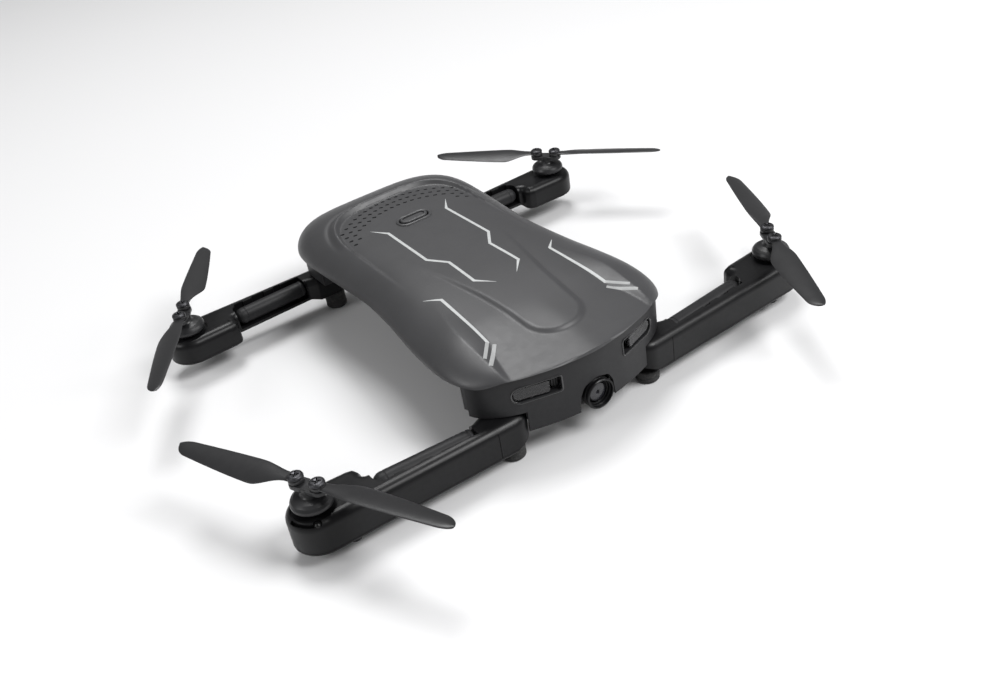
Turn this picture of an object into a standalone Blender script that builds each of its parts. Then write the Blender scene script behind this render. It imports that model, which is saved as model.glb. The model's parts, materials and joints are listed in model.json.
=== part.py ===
"""Folding palm drone: waisted body, four swing arms with two-blade folding rotors, tilting camera."""
import math

import bmesh
import bpy
from mathutils import Matrix, Vector

MM = 0.001

# body plan, right half from the nose to the tail (x, y in mm)
SHELL_PLAN = [
    (0.0, -69.3), (10.0, -68.7), (17.5, -67.1), (24.0, -64.6), (29.5, -61.4), (33.8, -57.0),
    (36.4, -50.5), (37.1, -42.0), (36.2, -29.0), (34.0, -13.0), (32.6, 3.0), (33.2, 18.0),
    (34.0, 32.0), (34.3, 42.5), (33.0, 52.0), (28.9, 60.0), (22.0, 66.0), (11.5, 69.6), (0.0, 70.6),
]
FRONT_CORNER_KEY = 5
REAR_CORNER_KEY = 15
KEY_STEPS = 4
SHELL_WALL = 1.4
RIM_FRONT_Z = 26.2
RIM_REAR_Z = 27.8
CROWN_KEYS = [
    (-69.3, 2.5), (-66.5, 3.4), (-60.0, 4.9), (-48.0, 6.7), (-22.0, 8.9), (0.0, 9.9),
    (26.0, 10.9), (45.0, 11.2), (72.0, 11.2),
]
TAIL_ROUND_FROM = 42.0

# lower housing
HOUSING_INSET = 3.0
HOUSING_WALL = 1.2
BLOCK_FLOOR_Z = 15.9
PAN_FLOOR_Z = 25.9
PAN_TOP_Z = 27.5
FRONT_BLOCK_REAR_Y = -47.5
REAR_BLOCK_FRONT_Y = 44.5
REAR_BLOCK_HALF_W = 29.6
CHIN_HALF_W = 19.4
CHIN_Z = 9.4

# front fascia, windows and camera
FASCIA_INSET = 0.9
FASCIA_WALL = 1.5
FASCIA_LOW_Z = 9.0
FASCIA_TOP_Z = 25.1
FASCIA_LOW_HALF_W = 21.8
WINDOW_X = 18.2
WINDOW_Y = -64.6
WINDOW_Z = 22.1
WINDOW_L = 14.6
WINDOW_H = 4.8
CAMERA_Y = -63.0
CAMERA_Z = 13.1
CAMERA_R = 4.8
CAMERA_TILT_R = 4.4

# arms: hinge and rotor axes of the right-hand side
HINGE_FRONT = (25.6, -59.3)
ROTOR_FRONT = (84.4, -54.5)
HINGE_REAR = (22.4, 56.7)
ROTOR_REAR = (76.7, 55.4)
ARM_TOP_Z = 15.5
ARM_LOW_Z = 5.9
COVER_LOW_Z = 4.5
COVER_TOP_Z = 5.6
NUB_LOW_Z = 3.3
REAR_ARM_RISE = 2.4
KNUCKLE_R = 5.3
POD_R = 8.2
POD_LENGTH = 15.4
ARM_INNER_V = 3.1
SEAM_V = -2.9
TUBE_R = 2.85
TUBE_Z = 12.2
TUBE_ROOT_U = 11.0
SHELF_Z = 9.1

# hinge pins with feet
PIN_R = 1.2
PIN_TOP_Z = 18.6
FOOT_R = 3.7
FOOT_TOP_Z = 4.1

# rotors
HUB_DISC_R = 6.0
HUB_LOW_Z = 16.1
BAR_LOW_Z = 21.1
BAR_TOP_Z = 22.5
BAR_HALF_W = 2.3
BLADE_PIVOT = 3.6
BLADE_R = 45.0
BLADE_MID_Z = 23.3
BLADE_THICK = 0.9
SCREW_R = 0.95
MOTOR_R = 4.2

COLOURS = {
    "shell_grey": ((0.150, 0.150, 0.155), 0.42, 0.0),
    "body_black": ((0.022, 0.022, 0.024), 0.45, 0.0),
    "gloss_black": ((0.018, 0.018, 0.020), 0.12, 0.0),
    "clear_lens": ((0.62, 0.64, 0.66), 0.06, 0.0),
    "blade_black": ((0.030, 0.030, 0.032), 0.35, 0.0),
    "dark_steel": ((0.18, 0.18, 0.19), 0.30, 1.0),
    "motor_steel": ((0.52, 0.52, 0.54), 0.28, 1.0),
    "board_green": ((0.02, 0.13, 0.06), 0.50, 0.0),
    "battery_grey": ((0.10, 0.10, 0.11), 0.50, 0.0),
    "lens_glass": ((0.010, 0.010, 0.020), 0.04, 0.0),
}

PARTS = "mini_palm_drone"
CUTTERS = "cutters"


def clear_scene():
    for obj in list(bpy.data.objects):
        bpy.data.objects.remove(obj, do_unlink=True)
    for name in (PARTS, CUTTERS):
        collection = bpy.data.collections.new(name)
        bpy.context.scene.collection.children.link(collection)


def material(name):
    found = bpy.data.materials.get(name)
    if found:
        return found
    colour, rough, metal = COLOURS[name]
    mat = bpy.data.materials.new(name)
    mat.use_nodes = True
    shader = mat.node_tree.nodes["Principled BSDF"]
    shader.inputs["Base Color"].default_value = (*colour, 1.0)
    shader.inputs["Roughness"].default_value = rough
    shader.inputs["Metallic"].default_value = metal
    return mat


def add_object(name, mesh, mat_name=None):
    """Link a mesh as a part, or as a hidden cutter when it has no material."""
    obj = bpy.data.objects.new(name, mesh)
    if mat_name:
        mesh.materials.clear()
        mesh.materials.append(material(mat_name))
        bpy.data.collections[PARTS].objects.link(obj)
    else:
        obj.hide_render = True
        obj.display_type = "WIRE"
        bpy.data.collections[CUTTERS].objects.link(obj)
    return obj


def smooth(obj, angle=40.0):
    obj.data.shade_smooth()
    obj.data.set_sharp_from_angle(angle=math.radians(angle))
    return obj


def bmesh_object(name, bm, mat_name=None):
    mesh = bpy.data.meshes.new(name)
    bm.to_mesh(mesh)
    bm.free()
    return add_object(name, mesh, mat_name)


def box(name, low, high, mat_name=None):
    """Axis-aligned box between two corners in mm."""
    bm = bmesh.new()
    size = [(b - a) * MM for a, b in zip(low, high)]
    middle = [(a + b) * 0.5 * MM for a, b in zip(low, high)]
    bmesh.ops.create_cube(bm, size=1.0, matrix=Matrix.Translation(middle) @ Matrix.Diagonal((*size, 1.0)))
    return bmesh_object(name, bm, mat_name)


def cylinder(name, centre, radius, z0, z1, mat_name=None, segments=32, axis="Z"):
    """Cylinder along an axis; z0 and z1 run along that axis, centre gives the other two."""
    bm = bmesh.new()
    turn = {
        "Z": Matrix.Identity(4),
        "X": Matrix.Rotation(math.radians(90), 4, "Y"),
        "Y": Matrix.Rotation(math.radians(-90), 4, "X"),
    }[axis]
    middle = (z0 + z1) * 0.5
    place = {
        "Z": (centre[0], centre[1], middle),
        "X": (middle, centre[0], centre[1]),
        "Y": (centre[0], middle, centre[1]),
    }[axis]
    bmesh.ops.create_cone(
        bm, cap_ends=True, segments=segments, radius1=radius * MM, radius2=radius * MM,
        depth=(z1 - z0) * MM, matrix=Matrix.Translation(Vector(place) * MM) @ turn,
    )
    return bmesh_object(name, bm, mat_name)


def prism(name, outline, z0, z1, mat_name=None, rounding=0.0, resolution=1):
    """Flat outline (mm) extruded between two heights, its edges rounded, and made a mesh."""
    data = bpy.data.curves.new(name + "_outline", "CURVE")
    data.dimensions = "2D"
    data.fill_mode = "BOTH"
    data.extrude = ((z1 - z0) * 0.5 - rounding) * MM
    data.bevel_depth = rounding * MM
    data.bevel_resolution = resolution
    data.offset = -rounding * MM
    spline = data.splines.new("POLY")
    spline.points.add(len(outline) - 1)
    for point, (x, y) in zip(spline.points, outline):
        point.co = (x * MM, y * MM, 0.0, 1.0)
    spline.use_cyclic_u = True
    guide = bpy.data.objects.new(name + "_outline", data)
    bpy.context.scene.collection.objects.link(guide)
    guide.location.z = (z0 + z1) * 0.5 * MM
    bpy.context.view_layer.update()
    evaluated = guide.evaluated_get(bpy.context.evaluated_depsgraph_get())
    mesh = bpy.data.meshes.new_from_object(evaluated)
    mesh.transform(guide.matrix_world)
    bpy.data.objects.remove(guide, do_unlink=True)
    bm = bmesh.new()
    bm.from_mesh(mesh)
    bmesh.ops.remove_doubles(bm, verts=bm.verts, dist=1e-6)
    bm.to_mesh(mesh)
    bm.free()
    mesh.materials.clear()
    return add_object(name, mesh, mat_name)


def lathe(name, profile, mat_name, steps=18):
    """Turned piece: profile of (radius, z) in mm from top to bottom on the outer side."""
    mesh = bpy.data.meshes.new(name)
    points = [(r * MM, 0.0, z * MM) for r, z in profile]
    mesh.from_pydata(points, [(i, i + 1) for i in range(len(points) - 1)], [])
    obj = add_object(name, mesh, mat_name)
    screw = obj.modifiers.new("turn", "SCREW")
    screw.steps = steps
    screw.render_steps = steps
    screw.use_merge_vertices = True
    screw.merge_threshold = 0.00001
    return obj


def boolean(obj, cutter, operation="DIFFERENCE"):
    mod = obj.modifiers.new(operation.lower(), "BOOLEAN")
    mod.operation = operation
    mod.object = cutter
    mod.solver = "EXACT"
    return obj


def stadium(length, height, steps=8):
    """Racetrack outline of the given overall size, centred on the origin."""
    radius = height * 0.5
    reach = length * 0.5 - radius
    points = []
    for side in (1, -1):
        for i in range(steps + 1):
            turn = math.radians(-90 + 180 * i / steps)
            points.append((side * (reach + radius * math.cos(turn)), side * radius * math.sin(turn)))
    return points


def spline_points(keys, steps):
    """Catmull-Rom curve through the keys."""
    ends = [tuple(2 * a - b for a, b in zip(keys[0], keys[1]))]
    tail = [tuple(2 * a - b for a, b in zip(keys[-1], keys[-2]))]
    padded = ends + list(keys) + tail
    points = []
    for i in range(len(keys) - 1):
        p0, p1, p2, p3 = padded[i:i + 4]
        for j in range(steps):
            t = j / steps
            points.append(tuple(
                0.5 * (2 * b + (c - a) * t + (2 * a - 5 * b + 4 * c - d) * t * t
                       + (3 * b - a - 3 * c + d) * t ** 3)
                for a, b, c, d in zip(p0, p1, p2, p3)
            ))
    points.append(tuple(keys[-1]))
    return points


def body_half_plan():
    """Right half of the plan; mirroring the end keys keeps the nose and tail square to the centre line."""
    mirrored = [(-SHELL_PLAN[1][0], SHELL_PLAN[1][1])] + SHELL_PLAN + [(-SHELL_PLAN[-2][0], SHELL_PLAN[-2][1])]
    points = spline_points(mirrored, KEY_STEPS)
    return points[KEY_STEPS:-KEY_STEPS]


HALF_PLAN = body_half_plan()


def inset_plan(inset):
    """Right half of the plan moved inwards by a distance."""
    points = []
    last = len(HALF_PLAN) - 1
    for i, (x, y) in enumerate(HALF_PLAN):
        x0, y0 = HALF_PLAN[max(i - 1, 0)]
        x1, y1 = HALF_PLAN[min(i + 1, last)]
        run = Vector((x1 - x0, y1 - y0)).normalized()
        if i in (0, last):
            run = Vector((1.0 if i == 0 else -1.0, 0.0))
        points.append((max(x - run.y * inset, 0.0), y + run.x * inset))
    return points


def closed_plan(inset):
    half = inset_plan(inset)[::2]
    return half + [(-x, y) for x, y in reversed(half[1:-1])]


def along(keys, y):
    """Value at y, on straight runs between the keys."""
    if y <= keys[0][0]:
        return keys[0][1]
    for (y0, v0), (y1, v1) in zip(keys, keys[1:]):
        if y <= y1:
            return v0 + (v1 - v0) * (y - y0) / (y1 - y0)
    return keys[-1][1]


def half_width(y):
    for (x0, y0), (x1, y1) in zip(HALF_PLAN, HALF_PLAN[1:]):
        if y0 <= y <= y1:
            return x0 + (x1 - x0) * (y - y0) / max(y1 - y0, 1e-9)
    return 0.0


def rim_height(y):
    share = (y - SHELL_PLAN[0][1]) / (SHELL_PLAN[-1][1] - SHELL_PLAN[0][1])
    return RIM_FRONT_Z + (RIM_REAR_Z - RIM_FRONT_Z) * share


def crown_height(x, y):
    """Top surface of the body: flat across the middle, round at the sides and the tail."""
    across = min(abs(x) / max(half_width(y), 1e-6), 1.0)
    side = (1.0 - across ** 5) ** 0.62
    tail = max(0.0, (y - TAIL_ROUND_FROM) / (SHELL_PLAN[-1][1] - TAIL_ROUND_FROM))
    end = (1.0 - min(tail, 1.0) ** 2) ** 0.9
    return rim_height(y) + along(CROWN_KEYS, y) * side * end


def at_share(points, share):
    """Point at a share of a polyline's length."""
    lengths = [math.dist(a, b) for a, b in zip(points, points[1:])]
    goal = share * sum(lengths)
    for (a, b), length in zip(zip(points, points[1:]), lengths):
        if goal <= length:
            k = goal / length
            return Vector((a[0] + (b[0] - a[0]) * k, a[1] + (b[1] - a[1]) * k))
        goal -= length
    return Vector(points[-1])


def shell_patch(s, t):
    """Coons patch over the right half of the plan: s runs out to the rim, t runs to the tail."""
    nose = HALF_PLAN[:FRONT_CORNER_KEY * KEY_STEPS + 1]
    side = HALF_PLAN[FRONT_CORNER_KEY * KEY_STEPS:REAR_CORNER_KEY * KEY_STEPS + 1]
    tail = HALF_PLAN[REAR_CORNER_KEY * KEY_STEPS:][::-1]
    low, high = at_share(nose, s), at_share(tail, s)
    spine = Vector((0.0, nose[0][1] + (tail[0][1] - nose[0][1]) * t))
    edge = at_share(side, t)
    corners = (
        Vector(nose[0]) * (1 - s) * (1 - t) + Vector(nose[-1]) * s * (1 - t)
        + Vector(tail[0]) * (1 - s) * t + Vector(tail[-1]) * s * t
    )
    return low * (1 - t) + high * t + spine * (1 - s) + edge * s - corners


def make_top_shell():
    bm = bmesh.new()
    bmesh.ops.create_grid(bm, x_segments=11, y_segments=26, size=0.5)
    for vert in bm.verts:
        s = 1.0 - (1.0 - (vert.co.x + 0.5)) ** 1.7
        t = vert.co.y + 0.5
        t = 0.5 * t + 0.5 * (0.5 - 0.5 * math.cos(math.pi * t))
        p = shell_patch(s, t)
        x = 0.0 if s < 1e-6 else p.x
        at_rim = s > 0.9999 or t < 0.0001 or t > 0.9999
        z = rim_height(p.y) if at_rim else crown_height(x, p.y)
        vert.co = Vector((x, p.y, z)) * MM
    shell = bmesh_object("top_shell", bm, "shell_grey")
    mirror = shell.modifiers.new("halves", "MIRROR")
    mirror.use_clip = True
    mirror.merge_threshold = 0.00005
    wall = shell.modifiers.new("wall", "SOLIDIFY")
    wall.thickness = SHELL_WALL * MM
    wall.offset = -1.0
    wall.use_even_offset = True
    hole = prism("button_hole", [(x, y + 25.4) for x, y in stadium(10.9, 5.1)], 30.0, 45.0)
    boolean(shell, hole)
    smooth(shell, 50)


def make_lower_housing():
    plan = closed_plan(HOUSING_INSET)
    housing = prism("lower_housing", plan, PAN_FLOOR_Z, PAN_TOP_Z, "body_black")
    front = [(x, y) for x, y in closed_plan(FASCIA_INSET + FASCIA_WALL + 0.4) if y < FRONT_BLOCK_REAR_Y]
    start = max(range(len(front)), key=lambda i: math.dist(front[i], front[i - 1]))
    front = front[start:] + front[:start]
    boolean(housing, prism("front_block", front, BLOCK_FLOOR_Z, PAN_FLOOR_Z + 0.4), "UNION")
    rear = [
        (-REAR_BLOCK_HALF_W, REAR_BLOCK_FRONT_Y), (REAR_BLOCK_HALF_W, REAR_BLOCK_FRONT_Y),
        (REAR_BLOCK_HALF_W, 57.0), (25.6, 61.2), (20.2, 65.2), (12.0, 68.4), (-12.0, 68.4),
        (-20.2, 65.2), (-25.6, 61.2), (-REAR_BLOCK_HALF_W, 57.0),
    ]
    boolean(housing, prism("rear_block", rear, BLOCK_FLOOR_Z, PAN_FLOOR_Z + 0.9), "UNION")
    chin = box("chin", (-CHIN_HALF_W, -63.4, CHIN_Z), (CHIN_HALF_W, -50.0, BLOCK_FLOOR_Z + 1.0))
    boolean(housing, chin, "UNION")
    boolean(housing, prism("pan_hollow", closed_plan(HOUSING_INSET + HOUSING_WALL),
                           PAN_FLOOR_Z + HOUSING_WALL, PAN_TOP_Z + 5))
    hollow = box("front_hollow", (-31.0, -60.2, BLOCK_FLOOR_Z + HOUSING_WALL),
                 (31.0, FRONT_BLOCK_REAR_Y - HOUSING_WALL, PAN_TOP_Z))
    boolean(housing, hollow)
    for side in (1, -1):
        boolean(housing, box(f"chin_hollow_{side}", (min(side * 9.2, side * 18.0), -63.0, CHIN_Z + 1.3),
                             (max(side * 9.2, side * 18.0), -51.4, BLOCK_FLOOR_Z + 3)))
        boolean(housing, window_cutter(f"lamp_well_{side}", side, WINDOW_L + 0.4, WINDOW_H + 0.4))
        boolean(housing, box(f"rear_hollow_{side}",
                             (min(side * 18.2, side * 28.2), REAR_BLOCK_FRONT_Y + 1.4, BLOCK_FLOOR_Z + HOUSING_WALL),
                             (max(side * 18.2, side * 28.2), 59.5, PAN_TOP_Z)))
    boolean(housing, box("camera_pocket", (-8.3, -70.0, 5.0), (8.3, -55.6, BLOCK_FLOOR_Z + 6)))
    boolean(housing, box("battery_bay", (-17.1, 45.9, 17.3), (17.1, 75.0, 30.0)))
    for x, y in hinge_points():
        boss = cylinder("boss", (x, y), 1.95, BLOCK_FLOOR_Z + 0.4, 21.0, segments=24)
        boolean(housing, boss, "UNION")
        boolean(housing, cylinder("pin_bore", (x, y), PIN_R + 0.2, 10.0, PIN_TOP_Z + 0.4, segments=24))


def hinge_points():
    points = []
    for x, y in (HINGE_FRONT, HINGE_REAR):
        points += [(x, y), (-x, y)]
    return points


def make_fascia():
    outer = [p for p in inset_plan(FASCIA_INSET) if p[1] < -53.5]
    inner = [p for p in inset_plan(FASCIA_INSET + FASCIA_WALL) if p[1] < -53.5]
    outline = outer + inner[::-1] + [(-x, y) for x, y in inner[1:]] + [(-x, y) for x, y in outer[:0:-1]]
    fascia = prism("front_fascia", outline, FASCIA_LOW_Z, FASCIA_TOP_Z, "body_black")
    for side in (1, -1):
        x0, x1 = sorted((side * FASCIA_LOW_HALF_W, side * 45.0))
        boolean(fascia, box(f"fascia_step_{side}", (x0, -80.0, 0.0), (x1, -40.0, BLOCK_FLOOR_Z)))
        room = lathe(f"knuckle_room_{side}", [
            (0.0, 21.7), (2.3, 21.7), (2.3, BLOCK_FLOOR_Z - 0.1), (KNUCKLE_R + 0.5, BLOCK_FLOOR_Z - 0.1),
            (KNUCKLE_R + 0.5, 0.0), (0.0, 0.0),
        ], None, 36)
        room.location = Vector((side * HINGE_FRONT[0], HINGE_FRONT[1], 0.0)) * MM
        boolean(fascia, room)
        boolean(fascia, window_cutter(f"window_hole_{side}", side, WINDOW_L, WINDOW_H))
    notch = [(-6.6, -10.0), (6.6, -10.0), (5.6, 1.0)]
    for i in range(9):
        turn = math.radians(180 * i / 8)
        notch.append((5.3 * math.cos(turn), 5.3 * math.sin(turn) * 1.0))
    notch.append((-5.6, 1.0))
    cutter = prism("camera_notch", notch, -20.0, 20.0)
    cutter.matrix_world = Matrix.Translation(Vector((0, -66.0, CAMERA_Z)) * MM) @ Matrix.Rotation(
        math.radians(90), 4, "X")
    boolean(fascia, cutter)
    for side, name in ((-1, "led_lens_left"), (1, "led_lens_right")):
        lens = prism(name, stadium(WINDOW_L - 0.6, WINDOW_H - 0.6, 6), -0.6, 0.6, "clear_lens", 0.25, 0)
        place_in_window(lens, side, 0.0)
        smooth(lens)


def window_cutter(name, side, length, height):
    """Racetrack opening that runs from outside the fascia into the front block."""
    cutter = prism(name, stadium(length, height), -9.0, 9.0)
    place_in_window(cutter, side, 0.0)
    return cutter


def place_in_window(obj, side, depth):
    """Turn a flat outline to face out of the fascia at a window, set back by depth (mm)."""
    facing = math.atan2(4.6, 14.0)
    out = Vector((side * math.sin(facing), -math.cos(facing), 0.0))
    along_x = Vector((math.cos(facing), side * math.sin(facing), 0.0))
    up = Vector((0.0, 0.0, 1.0))
    frame = Matrix((along_x, up, out)).transposed().to_4x4()
    centre = Vector((side * WINDOW_X, WINDOW_Y, WINDOW_Z)) + out * depth
    obj.matrix_world = Matrix.Translation(centre * MM) @ frame


def make_camera():
    pivot = bpy.data.objects.new("camera_pivot", None)
    bpy.context.scene.collection.objects.link(pivot)
    pivot.location = Vector((0, CAMERA_Y, CAMERA_Z)) * MM
    drum = cylinder("camera_barrel", (0, 0), CAMERA_TILT_R, -4.4, 4.4, "body_black", 24, "X")
    ring = cylinder("camera_ring", (0, 0), CAMERA_R, -6.6, -2.0, None, 32, "Y")
    boolean(drum, ring, "UNION")
    boolean(drum, cylinder("camera_axle", (0, 0), 1.2, -6.4, 6.4, None, 16, "X"), "UNION")
    boolean(drum, cylinder("lens_seat", (0, 0), 3.7, -8.0, -5.2, None, 32, "Y"))
    boolean(drum, cylinder("lens_hole", (0, 0), 2.2, -8.0, -1.0, None, 24, "Y"))
    lens = lathe("camera_lens", [(0.0, 1.4), (1.2, 1.15), (2.1, 0.5), (2.9, 0.0), (3.4, 0.0), (3.4, -1.0),
                                 (1.9, -1.0), (1.9, -3.0), (0.0, -3.0)], "lens_glass", 20)
    lens.rotation_euler = (math.radians(90), 0, 0)
    lens.location = (0, -6.3 * MM, 0)
    smooth(lens, 30)
    for obj in list(bpy.data.collections[CUTTERS].objects):
        if obj.name in ("camera_ring", "camera_axle", "lens_seat", "lens_hole"):
            obj.parent = pivot
    drum.parent = pivot
    lens.parent = pivot
    outline = [(-7.9, 7.2), (-7.9, -4.4), (-5.3, -4.4), (-5.3, 5.4), (5.3, 5.4), (5.3, -4.4), (7.9, -4.4), (7.9, 7.2)]
    bracket = prism("camera_bracket", outline, -3.0, 3.0, "body_black")
    bracket.matrix_world = Matrix.Translation(Vector((0, -61.2, CAMERA_Z)) * MM) @ Matrix.Rotation(
        math.radians(90), 4, "X")
    boolean(bracket, cylinder("axle_bore", (CAMERA_Y, CAMERA_Z), 1.5, -10.0, 10.0, None, 20, "X"))


def make_inside():
    board = box("circuit_board", (-21.0, -38.0, 27.5), (21.0, 38.0, 28.7), "board_green")
    boolean(board, box("main_chip", (-6.0, -20.0, 28.0), (6.0, -8.0, 30.2)), "UNION")
    boolean(board, box("switch_body", (-3.0, 22.4, 28.0), (3.0, 28.4, 31.0)), "UNION")
    boolean(board, box("wire_socket", (-8.0, 30.0, 28.0), (8.0, 36.0, 32.0)), "UNION")
    pack = prism("battery_pack", [(-16.7, 46.3), (16.7, 46.3), (16.7, 67.0), (12.0, 68.2), (-12.0, 68.2),
                                  (-16.7, 67.0)], 17.6, 26.7, "battery_grey", 0.5, 0)
    button = prism("power_button", stadium(10.0, 4.2, 6), 0.0, 6.2, "shell_grey", 0.5)
    top = crown_height(0.0, 25.4)
    button.location = Vector((0, 25.4, top - 5.9)) * MM
    smooth(button)


def arm_outline(length):
    """Plan of an arm in its own frame: u from hinge to rotor, v towards the side that folds inwards."""
    neck = length - POD_LENGTH
    points = wall_outline(length)
    points += [(neck + 2.6, POD_R), (neck + 0.9, POD_R - 0.7), (neck, POD_R - 2.4)]
    points += [(neck, ARM_INNER_V), (TUBE_ROOT_U - 0.6, ARM_INNER_V), (7.2, KNUCKLE_R - 0.5), (5.0, KNUCKLE_R)]
    return points


def wall_outline(length):
    """Root knuckle, plain wall and pod end, shared by the arm and its cover."""
    points = []
    for i in range(9):
        turn = math.radians(90 + 180 * i / 8)
        points.append((KNUCKLE_R * math.cos(turn), KNUCKLE_R * math.sin(turn)))
    for i in range(11):
        turn = math.radians(-94 + 184 * i / 10)
        points.append((length + POD_R * math.cos(turn), POD_R * math.sin(turn)))
    return points


def cover_outline(length):
    """Plan of the cover: full width at the root and pod, half width under the tube's shelf."""
    neck = length - POD_LENGTH
    points = wall_outline(length)
    points += [(neck + 2.6, POD_R), (neck + 0.9, POD_R - 0.7), (neck + 0.3, 0.6)]
    points += [(TUBE_ROOT_U - 0.6, 0.6), (7.2, KNUCKLE_R - 0.5), (5.0, KNUCKLE_R)]
    return points


def tube_notch(length):
    """Plan of the recess that the tube lies in, with a round end at the pod."""
    end = length - POD_LENGTH - 1.2
    points = [(TUBE_ROOT_U, 14.0), (TUBE_ROOT_U, SEAM_V)]
    for i in range(7):
        turn = math.radians(-90 + 90 * i / 6)
        points.append((end - 3.1 + 3.1 * math.cos(turn), SEAM_V + 3.1 + 3.1 * math.sin(turn)))
    points.append((end, 14.0))
    return points


def make_arm(tag, hinge, rotor, inner_side, rise):
    """One arm with its cover, tube, motor and hinge pin.

    inner_side is +1 when it folds anticlockwise; rise is how much higher its underside is than a front arm's.
    """
    heading = math.atan2(rotor[1] - hinge[1], rotor[0] - hinge[0])
    length = math.dist(hinge, rotor)
    frame = (
        Matrix.Translation(Vector((*hinge, 0.0)) * MM)
        @ Matrix.Rotation(heading, 4, "Z")
    )

    def turned(outline):
        points = [(u, v * inner_side) for u, v in outline]
        return points if inner_side > 0 else points[::-1]

    def place(obj):
        obj.matrix_world = frame
        return obj

    neck = length - POD_LENGTH
    arm = place(prism(f"arm_{tag}", turned(arm_outline(length)), ARM_LOW_Z + rise, ARM_TOP_Z, "body_black", 0.9))
    boolean(arm, place(prism(f"notch_{tag}", turned(tube_notch(length)), SHELF_Z, 20.0)))
    boolean(arm, place(cylinder(f"hinge_bore_{tag}", (0, 0), PIN_R + 0.3, 0.0, 20.0, segments=24)))
    bay = lathe(f"motor_bay_{tag}", [
        (0.0, 20.0), (6.6, 20.0), (6.6, ARM_TOP_Z - 0.5), (1.6, ARM_TOP_Z - 0.5), (1.6, ARM_TOP_Z - 1.3),
        (MOTOR_R + 0.3, ARM_TOP_Z - 1.3), (MOTOR_R + 0.3, 0.0), (0.0, 0.0),
    ], None, 36)
    bay.matrix_world = frame @ Matrix.Translation(Vector((length, 0.0, 0.0)) * MM)
    boolean(arm, bay)
    for i, (u0, u1) in enumerate(((neck - 6.5, neck - 2.8), (neck - 14.6, neck - 9.6), (neck - 21.0, neck - 18.0))):
        v0, v1 = sorted((inner_side * (SEAM_V - 0.8), inner_side * (SEAM_V + 0.6)))
        boolean(arm, place(box(f"slot_{i}_{tag}", (u0, v0, ARM_TOP_Z - 2.2), (u1, v1, 20.0))))
    smooth(arm)

    cover = place(prism(f"arm_cover_{tag}", turned(cover_outline(length)), COVER_LOW_Z + rise, COVER_TOP_Z + rise,
                        "body_black", 0.4, 0))
    nub = place(cylinder(f"nub_{tag}", (length - 6.8, -inner_side * 5.4), 1.9, NUB_LOW_Z + rise,
                         COVER_LOW_Z + rise + 0.4, segments=20))
    boolean(cover, nub, "UNION")
    boolean(cover, place(cylinder(f"cover_bore_{tag}", (0, 0), PIN_R + 0.3, 0.0, 20.0, segments=24)))
    smooth(cover)

    end = neck - 1.5
    tube = lathe(f"arm_tube_{tag}", [
        (0.0, end), (1.2, end - 0.25), (2.1, end - 0.9), (2.65, end - 1.8), (TUBE_R, end - 2.8),
        (TUBE_R, TUBE_ROOT_U + 0.9), (TUBE_R - 0.5, TUBE_ROOT_U + 0.3), (0.0, TUBE_ROOT_U + 0.3),
    ], "gloss_black", 18)
    tube.matrix_world = (
        frame @ Matrix.Translation(Vector((0.0, inner_side * 0.22, TUBE_Z)) * MM)
        @ Matrix.Rotation(math.radians(90), 4, "Y")
    )
    smooth(tube)

    motor = lathe(f"motor_{tag}", [
        (0.0, 19.0), (0.7, 19.0), (0.7, 13.9), (3.6, 13.9), (MOTOR_R, 13.4), (MOTOR_R, 6.0 + rise), (0.0, 6.0 + rise),
    ], "motor_steel", 16)
    motor.location = Vector((*rotor, 0.0)) * MM
    smooth(motor)

    pin = lathe(f"hinge_foot_{tag}", [
        (0.0, PIN_TOP_Z), (PIN_R - 0.3, PIN_TOP_Z), (PIN_R, PIN_TOP_Z - 0.3), (PIN_R, FOOT_TOP_Z + rise),
        (FOOT_R - 0.4, FOOT_TOP_Z + rise), (FOOT_R, FOOT_TOP_Z + rise - 0.4), (FOOT_R, 0.5),
        (FOOT_R - 0.5, 0.0), (0.0, 0.0),
    ], "body_black", 18)
    pin.location = Vector((*hinge, 0.0)) * MM
    smooth(pin)


def blade_station(s):
    """Chord ahead of and behind the pivot line, and pitch, at a share s of the blade's length."""
    grow = min(max((s - 0.06) / 0.22, 0.0), 1.0)
    grow = grow * grow * (3 - 2 * grow)
    taper = 1.0 - 0.42 * max(0.0, (s - 0.32) / 0.68) ** 1.4
    tip = math.sqrt(max(0.0, 1.0 - max(0.0, (s - 0.90) / 0.1001) ** 2))
    lead = (1.7 + 1.0 * grow) * taper * tip
    trail = (1.7 + 3.7 * grow) * taper * tip
    pitch = math.radians(15.0 - 8.0 * s) * grow
    return lead, trail, pitch


def make_blade(name, parent, angle, hand):
    """Blade that points along +X of its own frame, pivot at its origin; hand +1 turns anticlockwise."""
    length = BLADE_R - BLADE_PIVOT
    bm = bmesh.new()
    bmesh.ops.create_grid(bm, x_segments=11, y_segments=2, size=0.5)
    for vert in bm.verts:
        s = vert.co.x + 0.5
        s = 1.0 - (1.0 - s) ** 1.25
        lead, trail, pitch = blade_station(s)
        w = vert.co.y * hand + 0.5
        across = -trail + (lead + trail) * w
        camber = 0.5 * (1 - (2 * w - 1) ** 2) * min(s * 4, 1.0) * 0.5
        y = across * math.cos(pitch)
        z = across * math.sin(pitch) + camber
        vert.co = Vector((s * length, y * hand, z)) * MM
    blade = bmesh_object(name, bm, "blade_black")
    wall = blade.modifiers.new("wall", "SOLIDIFY")
    wall.thickness = BLADE_THICK * MM
    wall.offset = 0.0
    matrix = (
        Matrix.Rotation(angle, 4, "Z") @ Matrix.Translation(Vector((BLADE_PIVOT, 0, BLADE_MID_Z)) * MM)
    )
    eye = cylinder(name + "_eye", (0, 0), 2.1, -0.5, 0.5, None, 18)
    bore = cylinder(name + "_bore", (0, 0), SCREW_R + 0.25, -3.0, 3.0, None, 12)
    for obj in (blade, eye, bore):
        obj.parent = parent
        obj.matrix_local = matrix
    boolean(blade, eye, "UNION")
    boolean(blade, bore)
    smooth(blade)


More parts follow.
